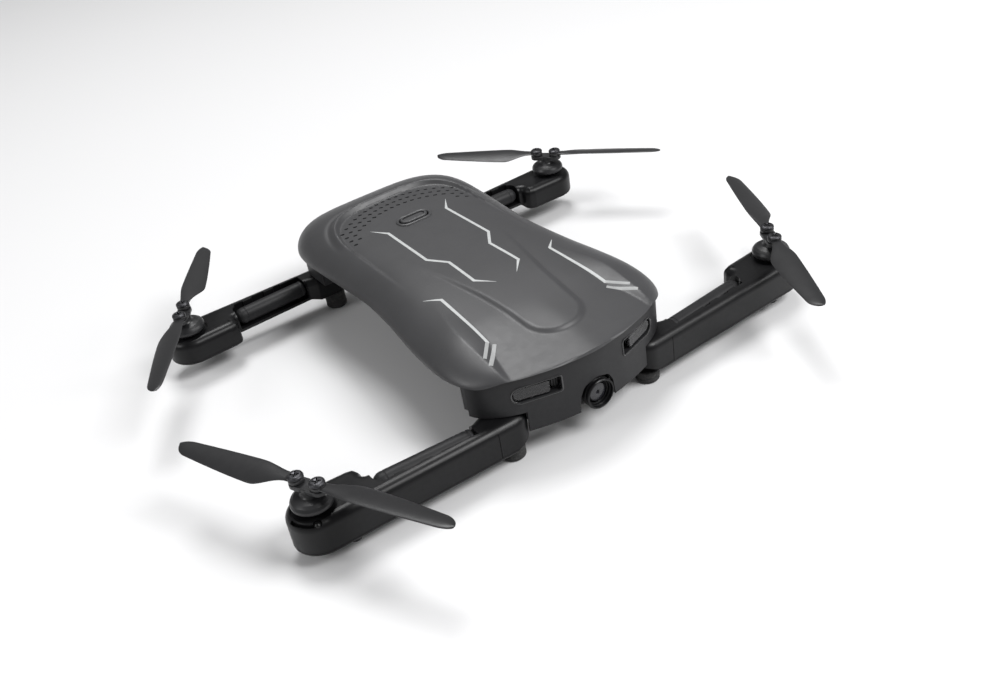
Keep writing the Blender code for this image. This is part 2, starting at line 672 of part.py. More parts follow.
def make_rotor(tag, centre, angle, hand):
    spin = bpy.data.objects.new(f"rotor_axis_{tag}", None)
    bpy.context.scene.collection.objects.link(spin)
    spin.location = Vector((*centre, 0.0)) * MM
    spin.rotation_euler.z = angle
    hub = lathe(f"rotor_hub_{tag}", [
        (0.0, BAR_TOP_Z - 0.2), (2.3, BAR_TOP_Z - 0.2), (2.3, 20.4), (2.8, 19.6), (4.6, 19.2), (5.6, 18.5),
        (HUB_DISC_R, 17.6), (HUB_DISC_R, 16.7), (5.5, HUB_LOW_Z), (0.95, HUB_LOW_Z), (0.95, 19.3), (0.0, 19.3),
    ], "body_black", 20)
    bar = prism(f"bar_{tag}", stadium(2 * (BLADE_PIVOT + BAR_HALF_W), 2 * BAR_HALF_W, 6), BAR_LOW_Z, BAR_TOP_Z)
    bar.parent = spin
    hub.parent = spin
    boolean(hub, bar, "UNION")
    for i, side in enumerate((1, -1)):
        bore = cylinder(f"screw_bore_{i}_{tag}", (side * BLADE_PIVOT, 0), SCREW_R + 0.15, 20.0, 30.0, None, 12)
        bore.parent = spin
        boolean(hub, bore)
        name = "ab"[i]
        make_blade(f"blade_{name}_{tag}", spin, math.pi * i, hand)
        screw = lathe(f"blade_screw_{name}_{tag}", [
            (0.0, 24.6), (1.0, 24.9), (1.7, 24.9), (2.2, 24.5), (2.2, 24.1),
            (SCREW_R, 24.1), (SCREW_R, 21.4), (0.0, 21.4),
        ], "dark_steel", 14)
        screw.parent = spin
        screw.location = Vector((side * BLADE_PIVOT, 0, 0)) * MM
        smooth(screw)
    smooth(hub)


ARMS = (
    ("front_right", HINGE_FRONT, ROTOR_FRONT, 1, 62.0, 1),
    ("front_left", (-HINGE_FRONT[0], HINGE_FRONT[1]), (-ROTOR_FRONT[0], ROTOR_FRONT[1]), -1, 115.0, -1),
    ("rear_right", HINGE_REAR, ROTOR_REAR, -1, 130.0, -1),
    ("rear_left", (-HINGE_REAR[0], HINGE_REAR[1]), (-ROTOR_REAR[0], ROTOR_REAR[1]), 1, 59.0, 1),
)


def main():
    clear_scene()
    make_top_shell()
    make_lower_housing()
    make_fascia()
    make_camera()
    make_inside()
    for tag, hinge, rotor, inner_side, angle, hand in ARMS:
        make_arm(tag, hinge, rotor, inner_side, 0.0 if hinge[1] < 0 else REAR_ARM_RISE)
        make_rotor(tag, rotor, math.radians(angle), hand)


main()
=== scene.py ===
"""Looks of the folding palm drone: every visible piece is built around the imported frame."""
import json
import math

import bmesh
import bpy
import numpy as np
from mathutils import Matrix, Vector


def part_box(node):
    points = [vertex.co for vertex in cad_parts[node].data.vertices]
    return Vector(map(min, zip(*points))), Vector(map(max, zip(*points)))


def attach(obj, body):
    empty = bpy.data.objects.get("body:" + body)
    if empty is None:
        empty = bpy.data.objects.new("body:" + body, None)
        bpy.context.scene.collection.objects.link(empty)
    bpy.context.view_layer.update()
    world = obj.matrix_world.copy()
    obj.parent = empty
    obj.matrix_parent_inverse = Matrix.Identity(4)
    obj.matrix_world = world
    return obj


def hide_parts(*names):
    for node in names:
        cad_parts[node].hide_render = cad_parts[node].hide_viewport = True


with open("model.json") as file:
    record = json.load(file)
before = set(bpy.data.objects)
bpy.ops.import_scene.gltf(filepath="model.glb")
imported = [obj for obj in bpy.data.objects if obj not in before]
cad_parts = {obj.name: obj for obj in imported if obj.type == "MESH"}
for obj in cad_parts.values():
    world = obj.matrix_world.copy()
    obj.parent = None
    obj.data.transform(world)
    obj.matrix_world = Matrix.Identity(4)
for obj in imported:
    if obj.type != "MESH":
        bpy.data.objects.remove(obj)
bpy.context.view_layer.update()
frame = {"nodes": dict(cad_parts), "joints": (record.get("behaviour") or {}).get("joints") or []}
JOINTS = {joint["name"]: joint for joint in frame["joints"]}
MM = 0.001
TAGS = ("front_right", "front_left", "rear_right", "rear_left")
SIDES = ((1, "right"), (-1, "left"))


def place_of(joint):
    """A joint's position in mm."""
    return Vector(JOINTS[joint]["pos_m"]) / MM


# ---- driving sizes, in mm

# shell: plan of the right half from nose to tail, and the height of its top along the centre line
PLAN_KEYS = [
    (0.0, -69.3), (9.0, -68.4), (17.5, -66.4), (24.0, -64.2), (29.5, -61.2), (33.8, -57.0),
    (36.4, -50.5), (37.1, -42.0), (36.2, -29.0), (34.0, -13.0), (32.6, 3.0), (33.2, 18.0),
    (34.0, 32.0), (34.3, 42.5), (33.0, 52.0), (28.9, 60.0), (22.0, 66.0), (11.5, 69.6), (0.0, 70.6),
]
TAIL_Y = PLAN_KEYS[-1][1]
FRONT_CORNER_KEY = 5
REAR_CORNER_KEY = 15
KEY_STEPS = 8
RIM_KEYS = [(-69.3, 26.3), (72.0, 27.8)]
NOSE_RIM_Z = 28.1
NOSE_RIM_X_RAMP, NOSE_RIM_Y_RAMP = (34.0, 26.0), (-50.0, -60.0)
CROWN_KEYS = [(-69.3, 28.5), (-66.5, 29.3), (-60.0, 30.9), (-48.0, 33.0), (-22.0, 35.4), (0.0, 36.7),
              (26.0, 37.9), (40.0, 38.2), (72.0, 38.3)]
TAIL_ROUND_FROM = 42.0
ACROSS_POWER, ACROSS_ROUND = 5, 0.62
TAIL_POWER, TAIL_ROUND = 2, 0.9
SHELL_WALL = 1.4
SHELL_COLUMNS, SHELL_ROWS = 76, 280

# relief on the shell; a ramp is the pair of places between which something fades in
LIP_HALF_W = 26.0
LIP_MIDDLE_Y = 20.0
LIP_REACH = 27.8
LIP_POWER = 3.5
LIP_RISE, GROOVE_DEPTH, BEAD_W = 0.80, 0.50, 0.9
LIP_RAMP = (24.0, 38.0)
RECESS_DEPTH = 1.0
RECESS_EDGE, RECESS_RAMP = (0.8, 1.8), (-14.0, 34.0)
CREST_KEYS = [(-69.3, 26.6), (-61.0, 26.5), (-54.6, 26.6), (-48.0, 26.9), (-43.0, 26.9), (-37.6, 26.2),
              (-30.0, 24.6), (-24.0, 23.2), (-12.0, 22.5)]
CREST_RISE_KEYS = [(-69.3, 0.4), (-63.5, 1.0), (-57.0, 1.6), (-50.0, 1.9), (-43.0, 1.9), (-36.0, 1.4),
                   (-28.0, 0.5), (-21.0, 0.0)]
FACET_EDGE_KEYS = [(-69.3, 25.4), (-60.0, 24.6), (-53.0, 23.0), (-48.4, 20.9), (-22.9, 20.4)]
NOSE_RIDGE = 1.0
NOSE_RIDGE_REACH, NOSE_RIDGE_R = 12.0, 3.0
NOSE_RIDGE_RAMP = (-38.0, -54.0)
CAMBER = 0.0009
TONGUE_W_KEYS = [(-60.0, 9.6), (-50.0, 9.8), (-40.0, 10.5), (-30.0, 11.6), (-24.0, 12.8), (0.0, 17.0),
                 (72.0, 20.0)]
TONGUE_END_Y = -50.0
TONGUE_END_R = 8.5
TONGUE_RISE = 0.70
TONGUE_EDGE, TONGUE_RAMP = (-0.2, 1.3), (2.0, -34.0)

# printed lines on the right half: (x, y, width) along each
LINE_W, POINT_W = 0.95, 0.1
UPPER_LINE = [(15.0, 29.0, POINT_W), (11.5, 23.0, LINE_W), (11.9, -1.6, LINE_W), (7.8, -8.3, LINE_W),
              (8.3, -22.9, LINE_W), (3.8, -28.2, POINT_W)]
LOWER_LINE = [(24.3, -18.7, POINT_W), (20.3, -22.9, LINE_W), (21.5, -48.4, LINE_W)]
STRIPES = [[(21.5, -48.0, 1.0), (26.3, -53.6, 1.0)], [(20.4, -49.9, 1.15), (26.6, -56.8, 1.15)]]

# perforations in the recess behind the button: columns on each side, their rear ends on a shallow arch
HOLE_COLUMNS = 9
HOLE_REAR_Y, HOLE_ARCH = 44.4, 0.0170
HOLE_PITCH_X, HOLE_PITCH_Y = 2.6, 3.2
HOLE_L, HOLE_W, HOLE_DEPTH = 1.5, 0.85, 1.0
HOLE_TURN = -24.0

# button and the ring around it
BUTTON_GAP = 0.45
BUTTON_STANDS = 0.85
RING_OUT, RING_R = 0.95, 0.55


# ---- mesh helpers

def new_object(name, data):
    obj = bpy.data.objects.new(name, data)
    bpy.context.scene.collection.objects.link(obj)
    return obj


def from_bmesh(bm, at=None):
    """Object from a bmesh that was made in mm."""
    bmesh.ops.recalc_face_normals(bm, faces=bm.faces)
    mesh = bpy.data.meshes.new("piece")
    bm.to_mesh(mesh)
    bm.free()
    place = at or Matrix.Identity(4)
    mesh.transform(place)
    mesh.transform(Matrix.Scale(MM, 4))
    if place.determinant() < 0:
        mesh.flip_normals()
    return new_object("piece", mesh)


def from_arrays(points, faces):
    """Object from points in mm and faces."""
    mesh = bpy.data.meshes.new("piece")
    mesh.from_pydata([tuple(p) for p in np.asarray(points) * MM], [], faces)
    mesh.validate()
    return new_object("piece", mesh)


def evaluated_mesh(obj):
    bpy.context.view_layer.update()
    evaluated = obj.evaluated_get(bpy.context.evaluated_depsgraph_get())
    return bpy.data.meshes.new_from_object(evaluated)


def bake(obj):
    """Replace an object's mesh by what its modifiers make of it."""
    old, obj.data = obj.data, evaluated_mesh(obj)
    obj.modifiers.clear()
    bpy.data.meshes.remove(old)
    return obj


def discard(obj):
    mesh = obj.data
    bpy.data.objects.remove(obj)
    bpy.data.meshes.remove(mesh)


def merged(objects):
    """One object from several, which don't have to touch."""
    bm = bmesh.new()
    for obj in objects:
        bm.from_mesh(obj.data)
        discard(obj)
    mesh = bpy.data.meshes.new("piece")
    bm.to_mesh(mesh)
    bm.free()
    return new_object("piece", mesh)


def combine(obj, others, operation):
    """Boolean of an object with closed shapes that stay clear of each other."""
    tool = merged(others)
    mod = obj.modifiers.new("combine", "BOOLEAN")
    mod.operation = operation
    mod.object = tool
    mod.solver = "MANIFOLD"
    bake(obj)
    discard(tool)
    return obj


def cut(obj, *tools):
    return combine(obj, tools, "DIFFERENCE")


def join(obj, *parts):
    return combine(obj, parts, "UNION")


def box(low, high, at=None):
    bm = bmesh.new()
    size = [b - a for a, b in zip(low, high)]
    middle = [(a + b) * 0.5 for a, b in zip(low, high)]
    bmesh.ops.create_cube(bm, size=1.0, matrix=move(*middle) @ Matrix.Diagonal((*size, 1.0)))
    return from_bmesh(bm, at)


def fillet(points, radius, steps=3, closed=False):
    """Round the corners of a 2D line, each by as much as its neighbours allow."""
    count = len(points)
    result = []
    for i, point in enumerate(points):
        if not closed and i in (0, count - 1):
            result.append(tuple(point))
            continue
        here = Vector(point)
        before = Vector(points[i - 1]) - here
        after = Vector(points[(i + 1) % count]) - here
        if before.length < 1e-6 or after.length < 1e-6:
            continue
        turn = before.angle(after)
        if turn > math.radians(170) or turn < math.radians(5):
            result.append(tuple(point))
            continue
        reach = min(radius / math.tan(turn / 2), before.length * 0.48, after.length * 0.48)
        start, end = here + before.normalized() * reach, here + after.normalized() * reach
        for k in range(steps + 1):
            t = k / steps
            result.append(tuple(start * (1 - t) ** 2 + here * 2 * t * (1 - t) + end * t ** 2))
    return result


def turned(profile, steps=48, at=None, rounding=0.0):
    """Turned piece from a profile of (radius, height) in mm, its corners rounded."""
    profile = fillet(profile, rounding, 3) if rounding else profile
    bm = bmesh.new()
    verts = [bm.verts.new((r, 0.0, z)) for r, z in profile]
    edges = [bm.edges.new(pair) for pair in zip(verts, verts[1:])]
    bmesh.ops.spin(bm, geom=verts + edges, axis=(0, 0, 1), cent=(0, 0, 0), angle=math.tau, steps=steps,
                   use_merge=True)
    bmesh.ops.remove_doubles(bm, verts=bm.verts, dist=1e-4)
    return from_bmesh(bm, at)


def lofted(rings, at=None):
    """Closed piece through rings of points in mm, capped at both ends."""
    bm = bmesh.new()
    verts = [[bm.verts.new(p) for p in ring] for ring in rings]
    for a, b in zip(verts, verts[1:]):
        for k in range(len(a)):
            after = (k + 1) % len(a)
            bm.faces.new((a[k], a[after], b[after], b[k]))
    bm.faces.new(verts[0][::-1])
    bm.faces.new(verts[-1])
    return from_bmesh(bm, at)


def rod(radius, top, bottom, steps, at):
    """Plain cylinder between two heights."""
    return turned([(0, top), (radius, top), (radius, bottom), (0, bottom)], steps, at)


def curve_mesh(data, at):
    """Closed mesh of a curve object."""
    guide = new_object("guide", data)
    mesh = evaluated_mesh(guide)
    bpy.data.objects.remove(guide)
    bm = bmesh.new()
    bm.from_mesh(mesh)
    bpy.data.meshes.remove(mesh)
    bmesh.ops.remove_doubles(bm, verts=bm.verts, dist=1e-3)
    bmesh.ops.dissolve_degenerate(bm, edges=bm.edges, dist=1e-4)
    return from_bmesh(bm, at)


def slab(outline, z0, z1, rounding=0.0, resolution=3, at=None):
    """Flat outline in mm between two heights, with its top and bottom edges rounded."""
    data = bpy.data.curves.new("guide", "CURVE")
    data.dimensions = "2D"
    data.fill_mode = "BOTH"
    data.extrude = (z1 - z0) * 0.5 - rounding
    data.bevel_depth = rounding
    data.bevel_resolution = resolution
    data.offset = -rounding
    spline = data.splines.new("POLY")
    spline.points.add(len(outline) - 1)
    for point, (x, y) in zip(spline.points, outline):
        point.co = (x, y, 0.0, 1.0)
    spline.use_cyclic_u = True
    return curve_mesh(data, (at or Matrix.Identity(4)) @ move(0, 0, (z0 + z1) * 0.5))


def bead(path, radius, at=None, closed=True):
    """Round bead along a path of 3D points in mm."""
    data = bpy.data.curves.new("guide", "CURVE")
    data.dimensions = "3D"
    data.bevel_depth = radius
    data.bevel_resolution = 2
    data.use_fill_caps = True
    spline = data.splines.new("POLY")
    spline.points.add(len(path) - 1)
    for point, place in zip(spline.points, path):
        point.co = (*place, 1.0)
    spline.use_cyclic_u = closed
    return curve_mesh(data, at)


def arc(radius, start, end, steps, centre=(0.0, 0.0)):
    """Points of an arc between two angles in degrees."""
    angles = [math.radians(start + (end - start) * i / steps) for i in range(steps + 1)]
    return [(centre[0] + radius * math.cos(a), centre[1] + radius * math.sin(a)) for a in angles]


def racetrack(length, height, steps=10):
    """Outline with straight sides and round ends."""
    radius = height * 0.5
    reach = length * 0.5 - radius
    return arc(radius, -90, 90, steps, (reach, 0.0)) + arc(radius, 90, 270, steps, (-reach, 0.0))


def cross(reach, half):
    """Outline of a cross: one arm, repeated at each quarter turn."""
    points = [(reach, -half), (reach, half), (half, half)]
    for _ in range(3):
        points += [(-y, x) for x, y in points[-3:]]
    return points


def shifted(outline, x, y):
    return [(a + x, b + y) for a, b in outline]


def move(x, y, z):
    return Matrix.Translation((x, y, z))


def turn(degrees, axis):
    return Matrix.Rotation(math.radians(degrees), 4, axis)


def about_z(angle):
    return Matrix.Rotation(angle, 4, "Z")


def keep(obj, name, body, mat, node=None, sharp=32.0):
    """Make an object a finished piece: its name, material, shading and the body it rides on."""
    obj.name = name
    obj.data.materials.clear()
    obj.data.materials.append(mat)
    obj.data.shade_smooth()
    obj.data.set_sharp_from_angle(angle=math.radians(sharp))
    flat = obj.modifiers.new("flat", "WEIGHTED_NORMAL")
    flat.keep_sharp = True
    flat.weight = 80
    bake(obj)
    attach(obj, body)
    if node:
        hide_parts(node)
    return obj


# ---- materials

class Shader:
    """Principled material with a few procedural layers in object space."""

    def __init__(self, name, colour, rough, metal=0.0, **sockets):
        self.mat = bpy.data.materials.new(name)
        self.mat.use_nodes = True
        self.tree = self.mat.node_tree
        self.base = self.tree.nodes["Principled BSDF"]
        self.colour = colour
        self.rough = rough
        self.base.inputs["Base Color"].default_value = (*colour, 1.0)
        self.base.inputs["Roughness"].default_value = rough
        self.base.inputs["Metallic"].default_value = metal
        for label, value in sockets.items():
            self.base.inputs[label.replace("_", " ")].default_value = value
        self.place = self.add("ShaderNodeTexCoord").outputs["Object"]
        self.bumped = None

    def add(self, kind, **values):
        node = self.tree.nodes.new(kind)
        for label, value in values.items():
            if hasattr(node, label):
                setattr(node, label, value)
            else:
                node.inputs[label.replace("_", " ")].default_value = value
        return node

    def link(self, a, b):
        self.tree.links.new(a, b)

    def noise(self, scale, detail=2.0, stretch=None):
        node = self.add("ShaderNodeTexNoise", Scale=scale, Detail=detail, Roughness=0.55)
        source = self.place
        if stretch:
            mapping = self.add("ShaderNodeMapping", Scale=stretch)
            self.link(source, mapping.inputs["Vector"])
            source = mapping.outputs["Vector"]
        self.link(source, node.inputs["Vector"])
        return node.outputs["Fac"]

    def spread(self, source, low, high, start=0.3, end=0.7):
        node = self.add("ShaderNodeMapRange", From_Min=start, From_Max=end, To_Min=low, To_Max=high)
        self.link(source, node.inputs["Value"])
        return node.outputs["Result"]

    def tone(self, source, low, high):
        """Base colour scaled between two shares by a pattern."""
        ramp = self.add("ShaderNodeValToRGB")
        for element, share in zip(ramp.color_ramp.elements, (low, high)):
            element.color = (*[min(c * share, 1.0) for c in self.colour], 1.0)
        ramp.color_ramp.elements[0].position = 0.3
        ramp.color_ramp.elements[1].position = 0.7
        self.link(source, ramp.inputs["Fac"])
        return ramp.outputs["Color"]

    def mix(self, factor, a, b):
        node = self.add("ShaderNodeMix", data_type="RGBA")
        self.link(factor, node.inputs[0])
        for value, socket in ((a, node.inputs[6]), (b, node.inputs[7])):
            if isinstance(value, tuple):
                socket.default_value = (*value, 1.0)
            else:
                self.link(value, socket)
        return node.outputs[2]

    def paint(self, source):
        self.link(source, self.base.inputs["Base Color"])

    def roughen(self, source, spread):
        self.link(self.spread(source, max(self.rough - spread, 0.02), self.rough + spread),
                  self.base.inputs["Roughness"])

    def bump(self, source, strength, depth_mm):
        node = self.add("ShaderNodeBump", Strength=strength, Distance=depth_mm * MM)
        self.link(source, node.inputs["Height"])
        if self.bumped:
            self.link(self.bumped, node.inputs["Normal"])
        self.bumped = node.outputs["Normal"]
        self.link(self.bumped, self.base.inputs["Normal"])

    def edges(self, low, high):
        """Mask of convex edges."""
        pointiness = self.add("ShaderNodeNewGeometry").outputs["Pointiness"]
        return self.spread(pointiness, 0.0, 1.0, low, high)


def moulded(name, colour, rough, grain=0.25, wear=0.35, **sockets):
    """Satin moulded plastic: fine etched grain, faint flow mottling, and edges rubbed a little paler."""
    s = Shader(name, colour, rough, **sockets)
    mottle = s.noise(95.0, 4.0)
    speck = s.noise(5200.0, 2.0)
    body = s.mix(s.spread(speck, 0.0, 1.0), s.tone(mottle, 0.94, 1.02), s.tone(mottle, 1.02, 1.14))
    rub = s.add("ShaderNodeMath", operation="MULTIPLY")
    s.link(s.edges(0.515, 0.60), rub.inputs[0])
    s.link(s.spread(s.noise(700.0, 3.0), 0.2 * wear, wear, 0.35, 0.65), rub.inputs[1])
    s.paint(s.mix(rub.outputs[0], body, tuple(min(c * 2.1 + 0.02, 1.0) for c in colour)))
    s.roughen(s.noise(420.0, 3.0), 0.025)
    s.bump(s.noise(3600.0, 2.0), grain, 0.03)
    return s.mat


def polished(name, colour, rough, **sockets):
    """Polished plastic: thin hairline scuffs in the gloss and very shallow ripples."""
    s = Shader(name, colour, rough, **sockets)
    s.paint(s.tone(s.noise(180.0, 3.0), 0.85, 1.15))
    s.roughen(s.noise(900.0, 4.0, (1.0, 6.0, 1.0)), 0.05)
    s.bump(s.noise(220.0, 2.0), 0.10, 0.03)
    return s.mat


def metal(name, colour, rough, turning=(1.0, 1.0, 40.0)):
    """Machined metal: fine tool marks and a little staining."""
    s = Shader(name, colour, rough, 1.0)
    s.paint(s.tone(s.noise(1400.0, 3.0), 0.78, 1.12))
    s.roughen(s.noise(1500.0, 3.0, turning), 0.10)
    s.bump(s.noise(2600.0, 2.0, turning), 0.18, 0.02)
    return s.mat


def print_ink(name, colour):
    """Pad-printed ink: slightly uneven, with fine pinholes."""
    s = Shader(name, colour, 0.50)
    pinholes = s.spread(s.noise(4200.0, 3.0), 0.0, 0.55, 0.60, 0.72)
    s.paint(s.mix(pinholes, s.tone(s.noise(600.0, 3.0), 0.92, 1.05), tuple(c * 0.55 for c in colour)))
    s.roughen(s.noise(1800.0), 0.08)
    s.bump(s.noise(3000.0), 0.15, 0.02)
    return s.mat


def rubbery(name, colour):
    """Matt rubber: coarse grain with dust in it."""
    s = Shader(name, colour, 0.80)
    s.paint(s.mix(s.spread(s.noise(900.0, 5.0), 0.0, 0.4, 0.5, 0.75), s.tone(s.noise(240.0, 3.0), 0.85, 1.1),
                  (0.11, 0.105, 0.10)))
    s.roughen(s.noise(1200.0), 0.08)
    s.bump(s.noise(2400.0, 3.0), 0.35, 0.05)
    return s.mat


def clear(name, tint, rough):
    """Smoky moulded window with faint waviness."""
    s = Shader(name, tint, rough, Alpha=0.75, Specular_IOR_Level=0.6)
    s.paint(s.tone(s.noise(300.0, 2.0), 0.90, 1.05))
    s.roughen(s.noise(1500.0, 3.0), 0.02)
    s.bump(s.noise(500.0, 2.0), 0.03, 0.02)
    return s.mat


def board(name):
    """Solder-masked board with paler copper tracks under the mask."""
    s = Shader(name, (0.010, 0.085, 0.035), 0.38)
    tracks = s.add("ShaderNodeTexBrick", Scale=240.0, Mortar_Size=0.03, Mortar_Smooth=0.2)
    s.link(s.place, tracks.inputs["Vector"])
    s.paint(s.mix(tracks.outputs["Fac"], s.tone(s.noise(500.0, 3.0), 0.85, 1.15), (0.03, 0.20, 0.08)))
    s.roughen(s.noise(800.0), 0.08)
    s.bump(tracks.outputs["Fac"], 0.3, 0.03)
    return s.mat


SHELL = moulded("shell_plastic", (0.038, 0.038, 0.040), 0.41, 0.22, 0.20, Specular_IOR_Level=0.42)
# The same grey plastic as the shell, made about three times darker: the darkness is painted shade for the
# fascia at the front and for the parts tucked under the shell.
SHADED_BODY = moulded("shaded_body_plastic", (0.012, 0.012, 0.013), 0.44, 0.22, 0.20, Specular_IOR_Level=0.26)
ARM = moulded("arm_plastic", (0.005, 0.005, 0.0055), 0.33, 0.20, 0.12, Specular_IOR_Level=0.21)
DARK = moulded("inner_plastic", (0.012, 0.012, 0.013), 0.55, 0.20, 0.10)
TUBE = polished("tube_plastic", (0.014, 0.014, 0.015), 0.48, Specular_IOR_Level=0.20)
BLADE = moulded("blade_plastic", (0.016, 0.016, 0.017), 0.34, 0.12, 0.55, Specular_IOR_Level=0.35)
HUB = moulded("hub_plastic", (0.014, 0.014, 0.015), 0.36, 0.16, 0.55, Specular_IOR_Level=0.35)
SCREW = metal("screw_steel", (0.07, 0.07, 0.075), 0.38)
MOTOR = metal("motor_steel_can", (0.46, 0.46, 0.48), 0.30)
REFLECTOR = polished("lamp_reflector", (0.035, 0.035, 0.037), 0.16, Metallic=1.0)
TRIM = polished("glossy_trim", (0.020, 0.020, 0.021), 0.20, Specular_IOR_Level=0.60)
INK = print_ink("line_ink", (0.40, 0.41, 0.41))
STRIPE_INK = print_ink("stripe_ink", (0.27, 0.275, 0.275))
RUBBER = rubbery("foot_rubber", (0.022, 0.022, 0.022))
CLEAR = clear("window_plastic", (0.016, 0.016, 0.017), 0.09)
LENS = polished("coated_lens", (0.012, 0.012, 0.016), 0.26, Coat_Weight=0.15, Coat_Roughness=0.15)
LAMP = print_ink("lamp_phosphor", (0.11, 0.10, 0.06))
BOARD = board("circuit_mask")
CELL = moulded("battery_case", (0.075, 0.075, 0.080), 0.48, 0.30, 0.30)


# ---- shell

def step(low, high, value):
    t = np.clip((value - low) / (high - low), 0.0, 1.0)
    return t * t * (3.0 - 2.0 * t)


def eased(keys, y, reach=4.0):
    """Value at y between the keys, averaged over a short run so that it has no kinks."""
    places, values = zip(*keys)
    return sum(np.interp(y + reach * k, places, values) for k in (-1.0, -0.5, 0.0, 0.5, 1.0)) / 5.0


def hump(value, width):
    return np.exp(-(value / width) ** 2)


def catmull(keys, steps):
    """Smooth curve through the keys; the first and last only give the end directions."""
    points = []
    for p0, p1, p2, p3 in zip(keys, keys[1:], keys[2:], keys[3:]):
        for t in np.arange(steps) / steps:
            points.append([
                0.5 * (2 * b + (c - a) * t + (2 * a - 5 * b + 4 * c - d) * t * t
                       + (3 * b - a - 3 * c + d) * t ** 3)
                for a, b, c, d in zip(p0, p1, p2, p3)
            ])
    return np.array(points + [list(keys[-2])])


def mirrored_key(key):
    return (-key[0], key[1])


PLAN = catmull([mirrored_key(PLAN_KEYS[1])] + PLAN_KEYS + [mirrored_key(PLAN_KEYS[-2])], KEY_STEPS)


def inset_plan(inset):
    """Right half of the plan moved inwards."""
    run = np.gradient(PLAN, axis=0)
    run[0], run[-1] = (1.0, 0.0), (-1.0, 0.0)
    run /= np.linalg.norm(run, axis=1)[:, None]
    points = PLAN + np.stack([-run[:, 1], run[:, 0]], axis=1) * inset
    points[:, 0] = np.maximum(points[:, 0], 0.0)
    return points


def rim_z(x, y):
    """Lower edge of the shell, higher across the nose."""
    side = np.interp(y, *zip(*RIM_KEYS))
    nose = step(*NOSE_RIM_X_RAMP, np.abs(x)) * step(*NOSE_RIM_Y_RAMP, y)
    return side + (NOSE_RIM_Z - side) * nose


def lip_and_recess(ax, y, bare=False):
    """Rolled lip behind the button, the groove behind it and the shallow recess in front of it."""
    beyond = np.maximum(y - LIP_MIDDLE_Y, 0.0) / LIP_REACH
    inside = (1.0 - ((ax / LIP_HALF_W) ** LIP_POWER + beyond ** LIP_POWER) ** (1.0 / LIP_POWER)) * LIP_HALF_W
    recess = RECESS_DEPTH * step(*RECESS_EDGE, inside) * step(*RECESS_RAMP, y)
    if bare:
        return -recess
    roll = LIP_RISE * hump(inside - 0.4, BEAD_W) - GROOVE_DEPTH * hump(inside + 1.6, BEAD_W)
    return roll * step(*LIP_RAMP, y) - recess


def fenders(ax, y):
    """Facets that climb from the lower printed lines to the fenders' crests, and the nose's low ridge."""
    crest = eased(CREST_KEYS, y)
    edge = eased(FACET_EDGE_KEYS, y, 2.0)
    climb = np.clip((ax - edge) / np.maximum(crest - edge, 0.8), 0.0, 1.0)
    fall = 1.0 - np.exp((NOSE_RIDGE_R - np.hypot(ax, NOSE_RIDGE_R)) / NOSE_RIDGE_REACH)
    return eased(CREST_RISE_KEYS, y, 2.0) * climb - NOSE_RIDGE * fall * step(*NOSE_RIDGE_RAMP, y)


def tongue(ax, y):
    """Low raised tongue down the middle with a round end towards the nose."""
    width = eased(TONGUE_W_KEYS, y)
    to_end = 1.0 - np.hypot(ax / width, np.minimum(y - TONGUE_END_Y, 0.0) / TONGUE_END_R)
    inside = to_end * np.where(y < TONGUE_END_Y, TONGUE_END_R, width)
    return TONGUE_RISE * step(*TONGUE_EDGE, inside) * step(*TONGUE_RAMP, y)


def shell_z(x, y, bare=False):
    """Height of the shell's outer surface; bare leaves out all relief but the recess."""
    x, y = np.asarray(x, float), np.asarray(y, float)
    ax = np.abs(x)
    across = np.clip(ax / np.maximum(np.interp(y, PLAN[:, 1], PLAN[:, 0]), 1e-6), 0.0, 1.0)
    tail = np.clip((y - TAIL_ROUND_FROM) / (TAIL_Y - TAIL_ROUND_FROM), 0.0, 1.0)
    top = eased(CROWN_KEYS, y, 6.0) - CAMBER * ax * ax + lip_and_recess(ax, y, bare)
    if not bare:
        top = top + fenders(ax, y) + tongue(ax, y)
    rim = rim_z(x, y)
    sides = (1.0 - across ** ACROSS_POWER) ** ACROSS_ROUND
    return rim + (top - rim) * sides * (1.0 - tail ** TAIL_POWER) ** TAIL_ROUND


def at_share(points, share):
    """Points at the given shares of a line's length."""
    lengths = np.concatenate([[0.0], np.cumsum(np.linalg.norm(np.diff(points, axis=0), axis=1))])
    place = share * lengths[-1]
    return np.stack([np.interp(place, lengths, points[:, k]) for k in (0, 1)], axis=-1)


def patch(plan, s, t):
    """Coons patch over half a plan: s runs out to the rim, t runs to the tail."""
    first, last = FRONT_CORNER_KEY * KEY_STEPS, REAR_CORNER_KEY * KEY_STEPS
    nose, side, tail = plan[:first + 1], plan[first:last + 1], plan[last:][::-1]
    spine = np.stack([np.zeros_like(t), nose[0, 1] + (tail[0, 1] - nose[0, 1]) * t], axis=-1)
    s1, t1 = s[..., None], t[..., None]
    corners = (nose[0] * (1 - s1) + nose[-1] * s1) * (1 - t1) + (tail[0] * (1 - s1) + tail[-1] * s1) * t1
    ends = at_share(nose, s) * (1 - t1) + at_share(tail, s) * t1
    return ends + spine * (1 - s1) + at_share(side, t) * s1 - corners


def shell_sheet(plan, drop):
    """Grid of points over the whole plan, from the left rim to the right rim."""
    share = 1.0 - (1.0 - np.linspace(0.0, 1.0, SHELL_COLUMNS)) ** 1.3
    run = np.linspace(0.0, 1.0, SHELL_ROWS)
    run = 0.55 * run + 0.45 * (0.5 - 0.5 * np.cos(np.pi * run))
    s, t = np.meshgrid(share, run)
    flat = patch(plan, s, t)
    flat[:, 0, 0] = 0.0
    z = shell_z(flat[..., 0], flat[..., 1], bare=drop > 0) - drop
    edge = np.zeros_like(z, bool)
    edge[0], edge[-1], edge[:, -1] = True, True, True
    z = np.where(edge, rim_z(flat[..., 0], flat[..., 1]), z)
    right = np.concatenate([flat, z[..., None]], axis=-1)
    left = right[:, :0:-1] * (-1.0, 1.0, 1.0)
    return np.concatenate([left, right], axis=1)


